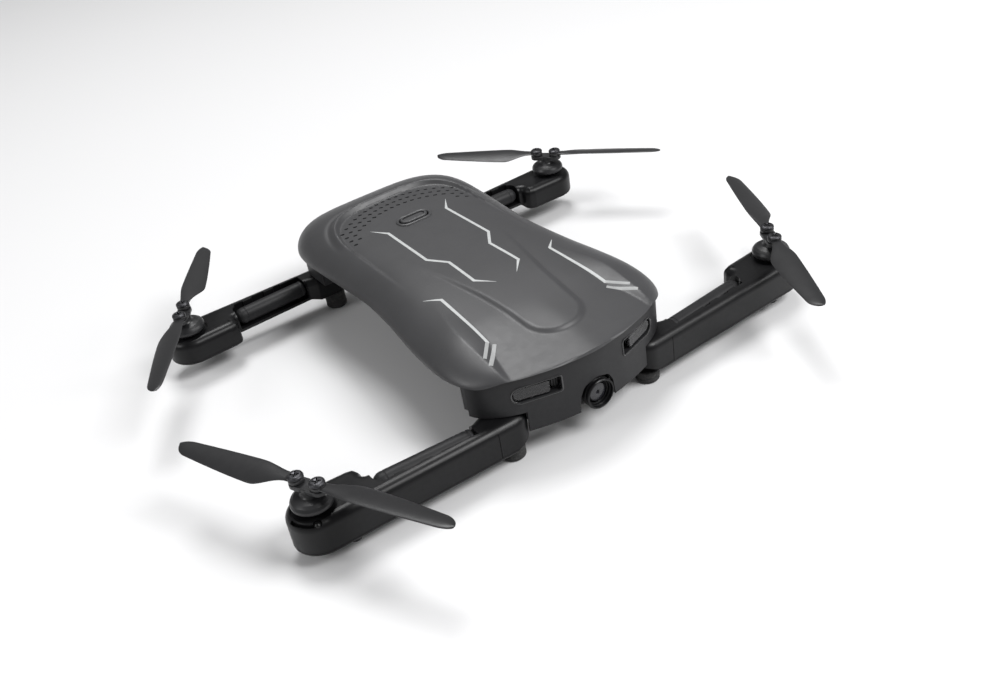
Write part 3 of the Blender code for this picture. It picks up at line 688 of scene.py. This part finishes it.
def make_shell():
    """The outer and inner sheet joined around the rim, with the button's hole and the perforations."""
    outer = shell_sheet(PLAN, 0.0)
    inner = shell_sheet(inset_plan(SHELL_WALL), SHELL_WALL)
    long, wide = outer.shape[:2]
    index = np.arange(long * wide).reshape(long, wide)
    quads = np.stack([index[:-1, :-1], index[:-1, 1:], index[1:, 1:], index[1:, :-1]], axis=-1).reshape(-1, 4)
    around = np.concatenate([index[0, :-1], index[:-1, -1], index[-1, :0:-1], index[:0:-1, 0]])
    ahead = np.roll(around, -1)
    offset = long * wide
    band = np.stack([ahead, around, around + offset, ahead + offset], axis=-1)
    faces = np.concatenate([quads, quads[:, ::-1] + offset, band])
    points = np.concatenate([outer.reshape(-1, 3), inner.reshape(-1, 3)])
    shell = from_arrays(points, faces.tolist())
    low, high = (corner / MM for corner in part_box("power_button"))
    hole = racetrack(high.x - low.x + 2 * BUTTON_GAP, high.y - low.y + 2 * BUTTON_GAP)
    middle = (low + high) / 2
    cutters = [slab(hole, 30.0, 45.0, at=move(middle.x, middle.y, 0))]
    for column in range(HOLE_COLUMNS):
        x = (column + 0.5) * HOLE_PITCH_X
        last = HOLE_REAR_Y - HOLE_ARCH * x * x
        for row in range(4 if column >= HOLE_COLUMNS - 2 else 3):
            for side in (1, -1):
                cutters.append(perforation(side * x, last - row * HOLE_PITCH_Y))
    cut(shell, *cutters)
    keep(shell, "shell", "body", SHELL, "top_shell", 40.0)


def perforation(x, y):
    """Cutter of one slanted blind slot in the shell."""
    top = float(shell_z(x, y))
    at = move(x, y, 0) @ turn(HOLE_TURN, "Z")
    return slab(racetrack(HOLE_L, HOLE_W, 4), top - HOLE_DEPTH, top + 1.5, at=at)


def mitred(keys):
    """Left and right edges of a line of (x, y, width), mitred at its corners."""
    points = [Vector(key[:2]) for key in keys]
    sides = []
    for i, here in enumerate(points):
        before = (here - points[i - 1]).normalized() if i else None
        after = (points[i + 1] - here).normalized() if i < len(points) - 1 else None
        run = ((before or after) + (after or before)).normalized()
        spread = keys[i][2] * 0.5 / max(run.dot(before or after), 0.3)
        across = Vector((-run.y, run.x)) * spread
        sides.append((here + across, here - across))
    return sides


def printed_line(name, keys, ink):
    """Thin raised print that follows the shell along a line."""
    rows = []
    sides = mitred(keys)
    for (left0, right0), (left1, right1) in zip(sides, sides[1:]):
        count = max(2, math.ceil((left1 - left0).length / 0.5))
        for k in range(count):
            t = k / count
            rows.append((left0.lerp(left1, t), right0.lerp(right1, t)))
    rows.append(sides[-1])
    section = [(0.0, 0.05), (0.25, 0.09), (0.5, 0.09), (0.75, 0.09), (1.0, 0.05), (1.0, -0.25), (0.0, -0.25)]
    rings = []
    for left, right in rows:
        places = [(*left.lerp(right, share), lift) for share, lift in section]
        rings.append([(x, y, float(shell_z(x, y)) + lift) for x, y, lift in places])
    keep(lofted(rings), name, "body", ink)


def make_printed_lines():
    for label, keys, ink in (("upper", UPPER_LINE, INK), ("lower", LOWER_LINE, INK),
                             ("stripe_a", STRIPES[0], STRIPE_INK), ("stripe_b", STRIPES[1], STRIPE_INK)):
        for side, word in SIDES:
            printed_line(f"print_{label}_{word}", [(side * x, y, w) for x, y, w in keys], ink)


def make_button():
    low, high = (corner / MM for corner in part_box("power_button"))
    middle = (low + high) / 2
    centre = move(middle.x, middle.y, 0)
    length, width = high.x - low.x, high.y - low.y
    top = float(shell_z(middle.x, middle.y))
    face = min(high.z, top + BUTTON_STANDS)
    button = slab(racetrack(length, width), low.z, face, 0.45, 3, centre)
    dish = slab(racetrack(length - 1.8, width - 1.4), face - 0.5, face + 2.0, 0.0, at=centre)
    cut(button, dish)
    keep(button, "button", "button", SHELL, "power_button")
    insert = slab(racetrack(length - 2.1, width - 1.7), face - 0.75, face - 0.34, 0.15, 2, centre)
    keep(insert, "button_insert", "button", SHELL)
    ring = [(x, y, top - 0.05) for x, y in racetrack(length + 2 * RING_OUT, width + 2 * RING_OUT, 14)]
    keep(bead(ring, RING_R, centre), "button_ring", "body", SHELL)


# ---- fascia, lamps and camera

FASCIA_INSET = 0.9
FASCIA_WALL = 1.5
FASCIA_END_Y = -53.5
WINDOW = Vector((18.2, -64.6, 22.1))
WINDOW_L, WINDOW_H = 14.6, 4.8
WINDOW_FACING = math.atan2(4.6, 14.0)
BEZEL_R, BROW_R = 0.30, 0.35
BROW_POINTS = 28
LAMP_L, LAMP_PITCH = 11.0, 3.3
BLOCK_INNER_X, BLOCK_FLOOR_Z = 21.8, 15.9
BEND_FROM_Z = 20.0
CHEEK_INNER_X, CHEEK_OUTER_X = 5.3, 7.9
CHEEK_R = 3.0
AXLE_BORE_R = 1.5
KNUCKLE_R = 5.3


def window_place(side):
    """Frame of a window: local x runs away from the nose, local z faces out."""
    out = Vector((side * math.sin(WINDOW_FACING), -math.cos(WINDOW_FACING), 0.0))
    aside = Vector((math.cos(WINDOW_FACING) * side, math.sin(WINDOW_FACING), 0.0))
    up = Vector((0.0, 0.0, 1.0))
    centre = Vector((side * WINDOW.x, WINDOW.y, WINDOW.z))
    return move(*centre) @ Matrix((aside, up, out)).transposed().to_4x4()


def window_outline(length, height, steps=10):
    """Window shape: round at its outer end, square with small corners at its inner end."""
    radius = height * 0.5
    reach = length * 0.5 - radius
    corner = 0.8
    left = corner - length * 0.5
    return (arc(radius, -90, 90, steps, (reach, 0.0)) + arc(corner, 90, 180, 4, (left, radius - corner))
            + arc(corner, 180, 270, 4, (left, corner - radius)))


def make_fascia():
    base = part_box("front_fascia")[0].z / MM
    outer = [tuple(p) for p in inset_plan(FASCIA_INSET) if p[1] < FASCIA_END_Y]
    inner = [tuple(p) for p in inset_plan(FASCIA_INSET + FASCIA_WALL) if p[1] < FASCIA_END_Y]
    outline = (outer + inner[::-1] + [mirrored_key(p) for p in inner[1:]]
               + [mirrored_key(p) for p in outer[:0:-1]])
    fascia = slab(outline, base, NOSE_RIM_Z - 0.1, 0.35, 2)
    for vert in fascia.data.vertices:
        if vert.co.z > BEND_FROM_Z * MM:
            vert.co.z += (float(rim_z(vert.co.x / MM, vert.co.y / MM)) - NOSE_RIM_Z) * MM
    cutters = []
    for side in (1, -1):
        x0, x1 = sorted((side * BLOCK_INNER_X, side * 45.0))
        cutters.append(box((x0, -80.0, 0.0), (x1, -40.0, BLOCK_FLOOR_Z)))
        cutters.append(slab(window_outline(WINDOW_L, WINDOW_H), -8.0, 8.0, at=window_place(side)))
    notch = fillet([(-6.9, -9.0), (6.9, -9.0), (5.9, 1.2), (4.4, 4.4), (0.0, 5.6), (-4.4, 4.4), (-5.9, 1.2)],
                   3.0, 5, closed=True)
    pivot = place_of("camera_tilt")
    cutters.append(slab(notch, -8.0, 8.0, at=move(0, pivot.y - 3.0, pivot.z) @ turn(90, "X")))
    cut(fascia, *cutters)
    rooms = []
    for tag in TAGS[:2]:
        hinge = place_of(f"fold_{tag}")
        floor = BLOCK_FLOOR_Z - 0.1
        profile = [(0, 21.7), (2.3, 21.7), (2.3, floor), (5.8, floor), (5.8, 0.0), (0.0, 0.0)]
        rooms.append(turned(profile, 48, move(hinge.x, hinge.y, 0)))
    cut(fascia, *rooms)
    # The fascia takes the darker copy of the shell plastic, whose darkness is painted shade for the front.
    keep(fascia, "fascia", "body", SHADED_BODY, "front_fascia", 30.0)
    front = inset_plan(FASCIA_INSET)[:FRONT_CORNER_KEY * KEY_STEPS]
    for side, word in SIDES:
        frame_path = []
        for x, z in window_outline(WINDOW_L + 0.5, WINDOW_H + 0.5, 14):
            place = window_place(side) @ Vector((x, z, 0.0))
            face_y = float(np.interp(abs(place.x), front[:, 0], front[:, 1]))
            frame_path.append((place.x, face_y - 0.02, place.z))
        keep(bead(frame_path, BEZEL_R), f"window_bezel_{word}", "body", TRIM)
    brow = [(x, y + BROW_R, float(rim_z(x, y)) - BROW_R) for x, y in front[:BROW_POINTS]]
    brow = [mirrored_key(p[:2]) + p[2:] for p in brow[:0:-1]] + brow
    keep(bead(brow, BROW_R, closed=False), "brow_seam", "body", DARK)


def make_lamps():
    for side, word in SIDES:
        lens_place = window_place(side) @ move(0.5 * (WINDOW_L - LAMP_L) - 0.35, 0, -0.5)
        lens = slab(window_outline(LAMP_L, WINDOW_H - 0.6), -0.5, 0.7, 0.35, 3, lens_place)
        keep(lens, f"lamp_window_{word}", "body", CLEAR, f"led_lens_{word}")
        tray = slab(window_outline(LAMP_L - 0.2, WINDOW_H - 0.7), -3.9, -0.8, 0.2, 2, lens_place)
        cups, lamps = [], []
        for k in (-1, 0, 1):
            at = lens_place @ move(k * LAMP_PITCH + 0.1, 0, 0)
            cup = [(0, 0.2), (1.58, 0.2), (1.55, -0.8), (1.2, -2.1), (0.75, -3.0), (0, -3.0)]
            cups.append(turned(cup, 32, at))
            lamp = [(0, -2.1), (0.35, -2.2), (0.6, -2.6), (0.62, -3.1), (0, -3.1)]
            lamps.append(turned(lamp, 24, at))
        cut(tray, *cups)
        keep(tray, f"lamp_tray_{word}", "body", REFLECTOR)
        keep(merged(lamps), f"lamp_chips_{word}", "body", LAMP)
        pocket = window_outline(WINDOW_L - LAMP_L - 0.7, WINDOW_H - 0.5, 6)
        at = window_place(side) @ move(-0.5 * LAMP_L, 0, 0)
        back = slab(pocket, -3.4, -1.6, 0.25, 2, at)
        ribs = [box((x, -1.9, -2.0), (x + 0.3, 1.9, -1.0), at) for x in (-0.9, -0.15, 0.6)]
        cut(back, *ribs)
        keep(back, f"lamp_pocket_{word}", "body", DARK)


def make_camera():
    pivot = place_of("camera_tilt")
    forward = move(*pivot) @ turn(90, "X")
    aside = move(*pivot) @ turn(90, "Y")
    ring = turned([
        (0, 3.7), (3.3, 3.7), (3.5, 3.9), (3.6, 4.6), (3.85, 4.65), (3.95, 5.5), (4.15, 5.55), (4.2, 6.6),
        (4.55, 6.6), (4.8, 6.3), (4.8, 5.5), (4.65, 5.4), (4.65, 5.1), (4.8, 5.0), (4.8, 2.2), (0, 2.2),
    ], 72, forward, 0.12)
    half = [(0, 6.4), (1.2, 6.4), (1.2, 4.7), (2.4, 4.7), (2.5, 4.4), (3.9, 4.4), (4.4, 3.9)]
    drum = turned(half + [(r, -z) for r, z in reversed(half)], 64, aside, 0.15)
    cut(drum, rod(2.5, 9.0, 3.7, 48, forward))
    join(drum, ring)
    keep(drum, "camera_ball", "camera", ARM, "camera_barrel", 30.0)
    lens = turned([(0, 4.45), (0.35, 4.45), (0.50, 4.95), (0.8, 5.05), (2.2, 5.0), (2.75, 4.90), (2.95, 4.7),
                   (3.0, 3.8), (0, 3.8)], 64, forward, 0.1)
    keep(lens, "camera_front_glass", "camera", LENS, "camera_lens")
    low, high = (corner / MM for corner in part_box("camera_bracket"))
    middle_y = (low.y + high.y) / 2
    cheeks = []
    rounded = [(x, 1.3 * z) for x, z in arc(CHEEK_R, 180, 360, 12)]
    outline = [(-CHEEK_R, 6.6), (-CHEEK_R, 0.0)] + rounded + [(CHEEK_R, 6.6)]
    for side in (1, -1):
        x0, x1 = sorted((side * CHEEK_INNER_X, side * CHEEK_OUTER_X))
        at = move(0, middle_y, pivot.z) @ turn(90, "Z") @ turn(90, "X")
        cheek = slab(outline, x0, x1, 0.5, 3, at)
        cut(cheek, rod(AXLE_BORE_R, 9.0, -9.0, 32, aside))
        for radius in (2.1, 3.0):
            near, far = radius - 0.18, radius + 0.18
            profile = [(near, 0.25), (far, 0.25), (far, -0.25), (near, -0.25), (near, 0.25)]
            cut(cheek, turned(profile, 48, aside @ move(0, 0, side * CHEEK_OUTER_X)))
        cheeks.append(cheek)
    roof = slab(fillet([(-7.7, -2.8), (7.7, -2.8), (7.7, 2.8), (-7.7, 2.8)], 0.8, 3, True),
                high.z - 2.0, high.z, 0.3, 2, move(0, middle_y, 0))
    bracket = merged(cheeks)
    join(bracket, roof)
    keep(bracket, "camera_cheeks", "body", SHADED_BODY, "camera_bracket", 30.0)


# ---- housing and battery

PAN_Z = 25.9
VENT_Y, VENT_PITCH, VENT_ROWS = -20.0, 3.4, 7
PAN_SCREW_X = 19.0
PAN_SCREW_YS = (("front", -36.0), ("rear", 32.0))


def copied(node):
    """A welded copy of a CAD node's mesh."""
    mesh = frame["nodes"][node].data.copy()
    bm = bmesh.new()
    bm.from_mesh(mesh)
    bmesh.ops.remove_doubles(bm, verts=bm.verts, dist=1e-7)
    bmesh.ops.recalc_face_normals(bm, faces=bm.faces)
    bm.to_mesh(mesh)
    bm.free()
    return new_object("piece", mesh)


def cross_screw(radius, head, at):
    """Pan-head screw with a cross recess, its seat at height 0."""
    profile = [(0, head), (radius * 0.55, head * 0.96), (radius * 0.9, head * 0.6), (radius, head * 0.2),
               (radius, -0.4), (0, -0.4)]
    screw = turned(profile, 32, at, 0.08)
    return cut(screw, slab(cross(radius * 0.62, radius * 0.13), head * 0.35, head + 1.0, at=at))


def make_housing():
    housing = copied("lower_housing")
    cutters = [slab(racetrack(15.0, 1.3, 6), PAN_Z - 2.0, PAN_Z + 0.6, at=move(0, y, 0))
               for y in (VENT_Y + row * VENT_PITCH for row in range(VENT_ROWS))]
    screws = [(side * PAN_SCREW_X, y, f"{end}_{word}") for side, word in SIDES for end, y in PAN_SCREW_YS]
    cutters += [rod(2.1, PAN_Z + 0.7, PAN_Z - 2.0, 32, move(x, y, 0)) for x, y, _ in screws]
    cut(housing, *cutters)
    keep(housing, "housing", "body", SHADED_BODY, "lower_housing", 30.0)
    for x, y, label in screws:
        screw = cross_screw(1.6, 0.6, move(x, y, PAN_Z + 0.65) @ turn(180, "X"))
        keep(screw, f"pan_screw_{label}", "body", SCREW)


def make_battery():
    low, high = (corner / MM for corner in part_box("battery_pack"))
    corners = [(low.x, low.y), (high.x, low.y), (high.x, high.y - 1.2), (12.0, high.y), (-12.0, high.y),
               (low.x, high.y - 1.2)]
    outline = fillet(corners, 1.2, 4, True)
    pack = slab(outline, low.z, high.z, 0.8, 3)
    middle = (low.z + high.z) / 2
    cut(pack, slab(racetrack(19.0, 8.4, 8), -0.35, 1.0, at=move(0, high.y, middle) @ turn(-90, "X")))
    ribs = [slab(racetrack(15.0, 0.7, 5), -0.9, 0.5, at=move(0, high.y, middle + k * 1.5) @ turn(-90, "X"))
            for k in (-2, -1, 0, 1, 2)]
    cut(pack, *ribs)
    keep(pack, "battery", "battery", CELL, "battery_pack", 30.0)


# ---- arms

ARM_TOP_Z = 15.5
COVER_THICK = 1.1
NUB_DROP = 1.2
POD_R = 8.2
POD_LENGTH = 15.4
WALL_EDGE = 2.8
TUBE_ROOT_U = 11.0
SEAM_V = -2.9
TUBE_R = 2.85
TUBE_Z = 12.2
SHELF_Z = 9.1
OVER_ARM_Z = 20.0
BORE_R = 1.5
SLOT_W, SLOT_V, SLOT_Z = 1.3, SEAM_V - 0.1, ARM_TOP_Z - 2.2
PIN_AT_R, PIN_ANGLE = 6.9, math.radians(-74)
HEEL_U, HEEL_SLOPE = 2.5, 24
FACE_SCREW_R = 1.2
NUB_U, NUB_V = -6.8, -5.4


def pod_wall(length):
    """Root knuckle, plain wall and pod end, in the arm's own frame."""
    return arc(KNUCKLE_R, 90, 270, 18) + arc(POD_R, -94, 90, 24, (length, 0.0))


def arm_plan(length, inner_v):
    """Closed outline of an arm, its narrow stretch reaching to inner_v on the side that folds inwards."""
    neck = length - POD_LENGTH
    inside = [(neck + 3.2, POD_R), (neck + 0.9, POD_R - 0.6), (neck, POD_R - 2.6), (neck, inner_v),
              (TUBE_ROOT_U - 0.6, inner_v), (7.2, KNUCKLE_R - 0.5), (4.0, KNUCKLE_R)]
    corners = fillet([(length, POD_R)] + inside + [(0.0, KNUCKLE_R)], 1.2, 4)
    return pod_wall(length) + corners[1:-1]


class Arm:
    """Frame and mirroring of one arm: u runs from hinge to rotor, v towards the side that folds inwards."""

    def __init__(self, tag):
        self.tag = tag
        self.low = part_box(f"arm_cover_{tag}")[0].z / MM + NUB_DROP
        self.hinge = place_of(f"fold_{tag}")
        self.rotor = place_of(f"spin_{tag}")
        run = (self.rotor - self.hinge).xy
        self.length = run.length
        self.neck = run.length - POD_LENGTH
        self.side = 1.0 if JOINTS[f"fold_{tag}"]["axis"][2] > 0 else -1.0
        self.place = move(self.hinge.x, self.hinge.y, 0) @ about_z(math.atan2(run.y, run.x))
        self.body = f"arm_{tag}"

    def plan(self, outline):
        points = [(u, v * self.side) for u, v in outline]
        return points if self.side > 0 else points[::-1]

    def slab(self, outline, z0, z1, rounding=0.0, resolution=3):
        return slab(self.plan(outline), z0, z1, rounding, resolution, self.place)

    def box(self, low, high):
        v0, v1 = sorted((low[1] * self.side, high[1] * self.side))
        return box((low[0], v0, low[2]), (high[0], v1, high[2]), self.place)

    def at(self, u, v, z=0.0):
        return self.place @ move(u, v * self.side, z)

    def heel(self):
        """Cutter of the slanted heel under the knuckle."""
        return box((-9.0, -9.0, -6.0), (0.0, 9.0, 0.0), self.at(HEEL_U, 0, self.low) @ turn(HEEL_SLOPE, "Y"))

    def bore(self):
        return rod(BORE_R, OVER_ARM_Z, 0.0, 32, self.at(0, 0))


def make_arm_body(arm):
    """Arm with its notch for the tube, motor bay, hinge bore, slots, tip recess and pin."""
    seat_z = arm.low + COVER_THICK + 0.12
    body = arm.slab(arm_plan(arm.length, 3.1), seat_z - 3.0, ARM_TOP_Z, WALL_EDGE, 5)
    cut(body, arm.box((-9.0, -9.0, 0.0), (arm.length + 12.0, 12.0, seat_z)))
    cut(body, arm.heel())
    end = arm.neck - 1.2
    curve = arc(3.1, -90, 0, 10, (end - 3.1, SEAM_V + 3.1))
    notch = [(TUBE_ROOT_U, 14.0), (TUBE_ROOT_U, SEAM_V)] + curve + [(end, 14.0)]
    cut(body, arm.slab(notch, SHELF_Z, OVER_ARM_Z))
    bay = turned([
        (0, OVER_ARM_Z), (6.5, OVER_ARM_Z), (6.5, 15.25), (6.35, 15.0), (1.6, 15.0), (1.6, 14.2), (4.5, 14.2),
        (4.5, 0.0), (0, 0.0),
    ], 64, arm.at(arm.length, 0))
    slots = [arm.slab(shifted(racetrack(length, SLOT_W, 5), arm.neck - back, SLOT_V), SLOT_Z, OVER_ARM_Z)
             for back, length in ((4.65, 3.7), (12.1, 5.0), (19.5, 3.0))]
    cut(body, bay, arm.bore(), *slots)
    tip = arc(7.7, -66, -10, 7, (arm.length, 0.0)) + arc(6.9, -10, -66, 7, (arm.length, 0.0))
    pin_u = arm.length + PIN_AT_R * math.cos(PIN_ANGLE)
    pin_v = PIN_AT_R * math.sin(PIN_ANGLE)
    cut(body, arm.slab(tip, 13.6, OVER_ARM_Z))
    cut(body, arm.slab(arc(1.15, 0, 360, 24, (pin_u, pin_v))[:-1], 14.3, OVER_ARM_Z))
    cut(body, arm.box((6.1, -6.5, 0.0), (6.28, -5.2, OVER_ARM_Z)))
    keep(body, f"arm_shell_{arm.tag}", arm.body, ARM, f"arm_{arm.tag}", 30.0)
    pin = turned([(0, 15.1), (0.5, 15.1), (0.95, 14.7), (0.95, 14.0), (0, 14.0)], 32,
                 arm.at(pin_u, pin_v), 0.1)
    keep(pin, f"pod_pin_{arm.tag}", arm.body, ARM)


def make_arm_cover(arm):
    """Cover under the arm with its nub and three screws."""
    cover = arm.slab(arm_plan(arm.length, 0.6), arm.low, arm.low + COVER_THICK + 1.0, 0.8, 4)
    cut(cover, arm.box((-9.0, -9.0, arm.low + COVER_THICK), (arm.length + 12.0, 12.0, OVER_ARM_Z)))
    cut(cover, arm.heel())
    screw_places = ((arm.length + 3.4, 3.6), (arm.neck - 1.0, -4.0), (12.5, -2.6))
    cut(cover, arm.bore(), *[rod(1.5, arm.low + 0.7, 0.0, 32, arm.at(u, v)) for u, v in screw_places])
    nub = turned([(0, 0.6), (1.9, 0.6), (1.9, -0.8), (1.5, -1.2), (0, -1.2)], 40,
                 arm.at(arm.length + NUB_U, NUB_V, arm.low), 0.3)
    join(cover, nub)
    keep(cover, f"arm_base_{arm.tag}", arm.body, ARM, f"arm_cover_{arm.tag}", 30.0)
    screws = [cross_screw(FACE_SCREW_R, 0.5, arm.at(u, v, arm.low + 0.65) @ turn(180, "X"))
              for u, v in screw_places]
    keep(merged(screws), f"arm_base_screws_{arm.tag}", arm.body, SCREW)


def make_tube(arm):
    """Tubular insert: a domed end towards the pod and a collar at its root."""
    last = arm.neck - 1.5
    domed = [(TUBE_R, 0.0), (1.6, 0.2), (0.7, 0.85), (0.17, 1.8), (0.0, 2.9), (0.0, 3.3), (0.12, 3.4),
             (0.12, 3.65), (0.0, 3.75)]
    collar = [(0.0, 2.2), (0.15, 2.1), (0.15, 1.7), (0.0, 1.6), (0.0, 0.9), (0.5, 0.3), (TUBE_R, 0.3)]
    profile = ([(TUBE_R - inset, last - u) for inset, u in domed]
               + [(TUBE_R - inset, TUBE_ROOT_U + u) for inset, u in collar])
    tube = turned(profile, 56, arm.at(0.0, 0.22, TUBE_Z) @ turn(90, "Y"), 0.15)
    keep(tube, f"arm_barrel_{arm.tag}", arm.body, TUBE, f"arm_tube_{arm.tag}", 30.0)


def make_motor(arm):
    motor = turned([
        (0, 19.0), (0.55, 19.0), (0.7, 18.85), (0.7, 14.2), (1.4, 14.1), (1.4, 13.9), (3.5, 13.9),
        (4.2, 13.3), (4.2, 10.6), (4.05, 10.5), (4.05, 10.2), (4.2, 10.1), (4.2, arm.low + 1.5),
        (0, arm.low + 1.5),
    ], 48, arm.at(arm.length, 0), 0.12)
    keep(motor, f"motor_can_{arm.tag}", arm.body, MOTOR, f"motor_{arm.tag}", 30.0)


def make_foot(arm):
    """Hinge pin and the rubber foot under it."""
    foot = turned([
        (0, 18.6), (0.9, 18.6), (1.2, 18.3), (1.2, arm.low - 0.3), (3.35, arm.low - 0.4),
        (3.7, arm.low - 0.7), (3.7, 2.0), (3.55, 1.9), (3.55, 1.5), (3.7, 1.4), (3.7, 0.5), (3.2, 0.0),
        (2.0, 0.0), (1.8, 0.35), (0, 0.35),
    ], 56, move(arm.hinge.x, arm.hinge.y, 0), 0.12)
    keep(foot, f"foot_{arm.tag}", "body", RUBBER, f"hinge_foot_{arm.tag}", 30.0)


def make_arm(tag):
    arm = Arm(tag)
    for make in (make_arm_body, make_arm_cover, make_tube, make_motor, make_foot):
        make(arm)


# ---- rotors

BLADE_PIVOT = 3.6
BLADE_R = 45.0
BLADE_MID_Z = 23.3
BLADE_BORE_R = 1.2
BAR_W, BAR_Z0, BAR_Z1 = 4.6, 21.1, 22.5
HANDS = {"front_right": 1, "front_left": -1, "rear_right": -1, "rear_left": 1}


def blade_rings(hand):
    """Aerofoil sections along +X from the pivot; hand +1 turns anticlockwise."""
    length = BLADE_R - BLADE_PIVOT
    rows, half = 46, 12
    rings = []
    for s in 1.0 - (1.0 - np.linspace(0.0, 1.0, rows)) ** 1.5:
        grow = float(step(0.05, 0.30, s))
        taper = 1.0 - 0.42 * max(0.0, (s - 0.32) / 0.68) ** 1.4
        tip = math.sqrt(max(0.0, 1.0 - max(0.0, (s - 0.90) / 0.1002) ** 2))
        lead, trail = ((1.7 + 1.0 * grow) * taper * tip, (1.7 + 3.6 * grow) * taper * tip)
        pitch = math.radians(15.0 - 8.0 * s) * grow
        thick = (0.95 - 0.35 * s) * 0.5 * (0.35 + 0.65 * tip)
        ring = []
        for k in range(2 * half):
            a = math.tau * k / (2 * half)
            w = 0.5 + 0.5 * math.cos(a)
            across = -trail + (lead + trail) * w
            camber = 0.25 * (1 - (2 * w - 1) ** 2) * min(s * 4, 1.0)
            lift = thick * math.sin(a) * (0.55 + 0.45 * w) + camber
            ring.append((s * length, hand * (across * math.cos(pitch) - lift * math.sin(pitch)),
                         across * math.sin(pitch) + lift * math.cos(pitch)))
        rings.append(ring)
    return rings


def make_blade(tag, letter, angle, hand):
    pivot = place_of(f"blade_fold_{letter}_{tag}")
    at = move(pivot.x, pivot.y, BLADE_MID_Z) @ about_z(angle)
    blade = lofted(blade_rings(hand), at)
    eye = turned([(0, 0.55), (2.1, 0.55), (2.2, 0.4), (2.2, -0.4), (2.1, -0.55), (0, -0.55)], 40, at)
    join(blade, eye)
    cut(blade, rod(BLADE_BORE_R, 3.0, -3.0, 32, at))
    keep(blade, f"blade_{letter}_foil_{tag}", f"blade_{letter}_{tag}", BLADE,
         f"blade_{letter}_{tag}", 38.0)
    axis = move(pivot.x, pivot.y, 0)
    head = turned([(0, 24.75), (0.9, 24.95), (1.6, 24.9), (2.1, 24.6), (2.25, 24.2), (2.2, 24.05),
                   (0.95, 24.05), (0.95, 21.4), (0, 21.4)], 40, axis, 0.08)
    cut(head, slab(cross(1.25, 0.2), 24.35, 26.0, at=axis @ about_z(angle + 0.5)))
    keep(head, f"blade_screw_head_{letter}_{tag}", f"rotor_{tag}", SCREW,
         f"blade_screw_{letter}_{tag}", 30.0)


def make_rotor(tag):
    centre = place_of(f"spin_{tag}")
    run = place_of(f"blade_fold_a_{tag}") - centre
    angle = math.atan2(run.y, run.x)
    at = move(centre.x, centre.y, 0) @ about_z(angle)
    hub = turned([
        (0, 22.3), (2.3, 22.3), (2.3, 20.5), (2.45, 20.1), (2.8, 19.7), (3.3, 19.5), (4.6, 19.2),
        (5.5, 18.6), (5.95, 17.8), (6.0, 17.0), (5.7, 16.5), (5.2, 16.1), (4.6, 16.1), (4.4, 16.7),
        (2.6, 16.7), (2.4, 16.1), (0.95, 16.1), (0.95, 19.3), (0, 19.3),
    ], 72, at, 0.15)
    bar = slab(racetrack(2 * BLADE_PIVOT + BAR_W, BAR_W, 12), BAR_Z0, BAR_Z1, 0.3, 3, at)
    cut(bar, *[rod(2.6, 30.0, 10.0, 40, at @ move(0, side * BAR_W, 0)) for side in (1, -1)])
    join(hub, bar)
    cut(hub, *[rod(1.1, 30.0, 20.0, 28, at @ move(side * BLADE_PIVOT, 0, 0)) for side in (1, -1)])
    keep(hub, f"hub_{tag}", f"rotor_{tag}", HUB, f"rotor_hub_{tag}", 30.0)
    for letter, offset in (("a", 0.0), ("b", math.pi)):
        make_blade(tag, letter, angle + offset, HANDS[tag])


# ---- stage and camera

def make_stage():
    bpy.ops.mesh.primitive_plane_add(size=6.0)
    floor = bpy.context.object
    floor.name = "floor"
    s = Shader("floor_paint", (0.68, 0.68, 0.685), 0.55)
    s.paint(s.tone(s.noise(3.0, 2.0), 0.995, 1.005))
    floor.data.materials.append(s.mat)
    world = bpy.data.worlds.new("studio")
    world.use_nodes = True
    backdrop = world.node_tree.nodes["Background"]
    backdrop.inputs["Color"].default_value = (1.0, 1.0, 1.0, 1.0)
    backdrop.inputs["Strength"].default_value = 0.28
    bpy.context.scene.world = world
    middle = Vector((0.0, 0.0, 0.02))
    for name, place, size, power in (
        ("back", (0.20, 0.38, 1.02), 0.50, 7.6),
        ("front", (0.36, -0.58, 0.78), 0.46, 8.6),
        ("left", (-0.85, 0.10, 0.60), 0.40, 2.8),
        ("right", (0.80, -0.50, 0.50), 0.30, 2.0),
    ):
        data = bpy.data.lights.new(name, "AREA")
        data.shape = "DISK"
        data.size = size
        data.energy = power
        lamp = new_object(name, data)
        lamp.location = place
        lamp.rotation_euler = (middle - Vector(place)).to_track_quat("-Z", "Y").to_euler()


# the main picture's viewpoint, in mm, and its view and up directions
VIEW_FROM = Vector((-142.4, -265.6, 196.3))
VIEW_ALONG = Vector((0.41184, 0.71967, -0.55898))
VIEW_UP = Vector((0.42102, 0.39374, 0.81713))
VIEW_LENS = 38.34


def make_view():
    data = bpy.data.cameras.new("view")
    data.lens = VIEW_LENS
    data.sensor_width = 36.0
    data.clip_start = 0.01
    view = new_object("view", data)
    right = VIEW_ALONG.cross(VIEW_UP).normalized()
    up = right.cross(VIEW_ALONG).normalized()
    turning = Matrix((right, up, -VIEW_ALONG)).transposed().to_4x4()
    view.matrix_world = Matrix.Translation(VIEW_FROM * MM) @ turning
    bpy.context.scene.camera = view
    bpy.context.scene.view_settings.view_transform = "Standard"
    bpy.context.scene.view_settings.look = "None"


def main():
    make_view()
    make_stage()
    make_shell()
    make_printed_lines()
    make_button()
    make_fascia()
    make_lamps()
    make_camera()
    make_housing()
    make_battery()
    for slot in frame["nodes"]["circuit_board"].material_slots:
        slot.material = BOARD
    for tag in TAGS:
        make_arm(tag)
        make_rotor(tag)


main()
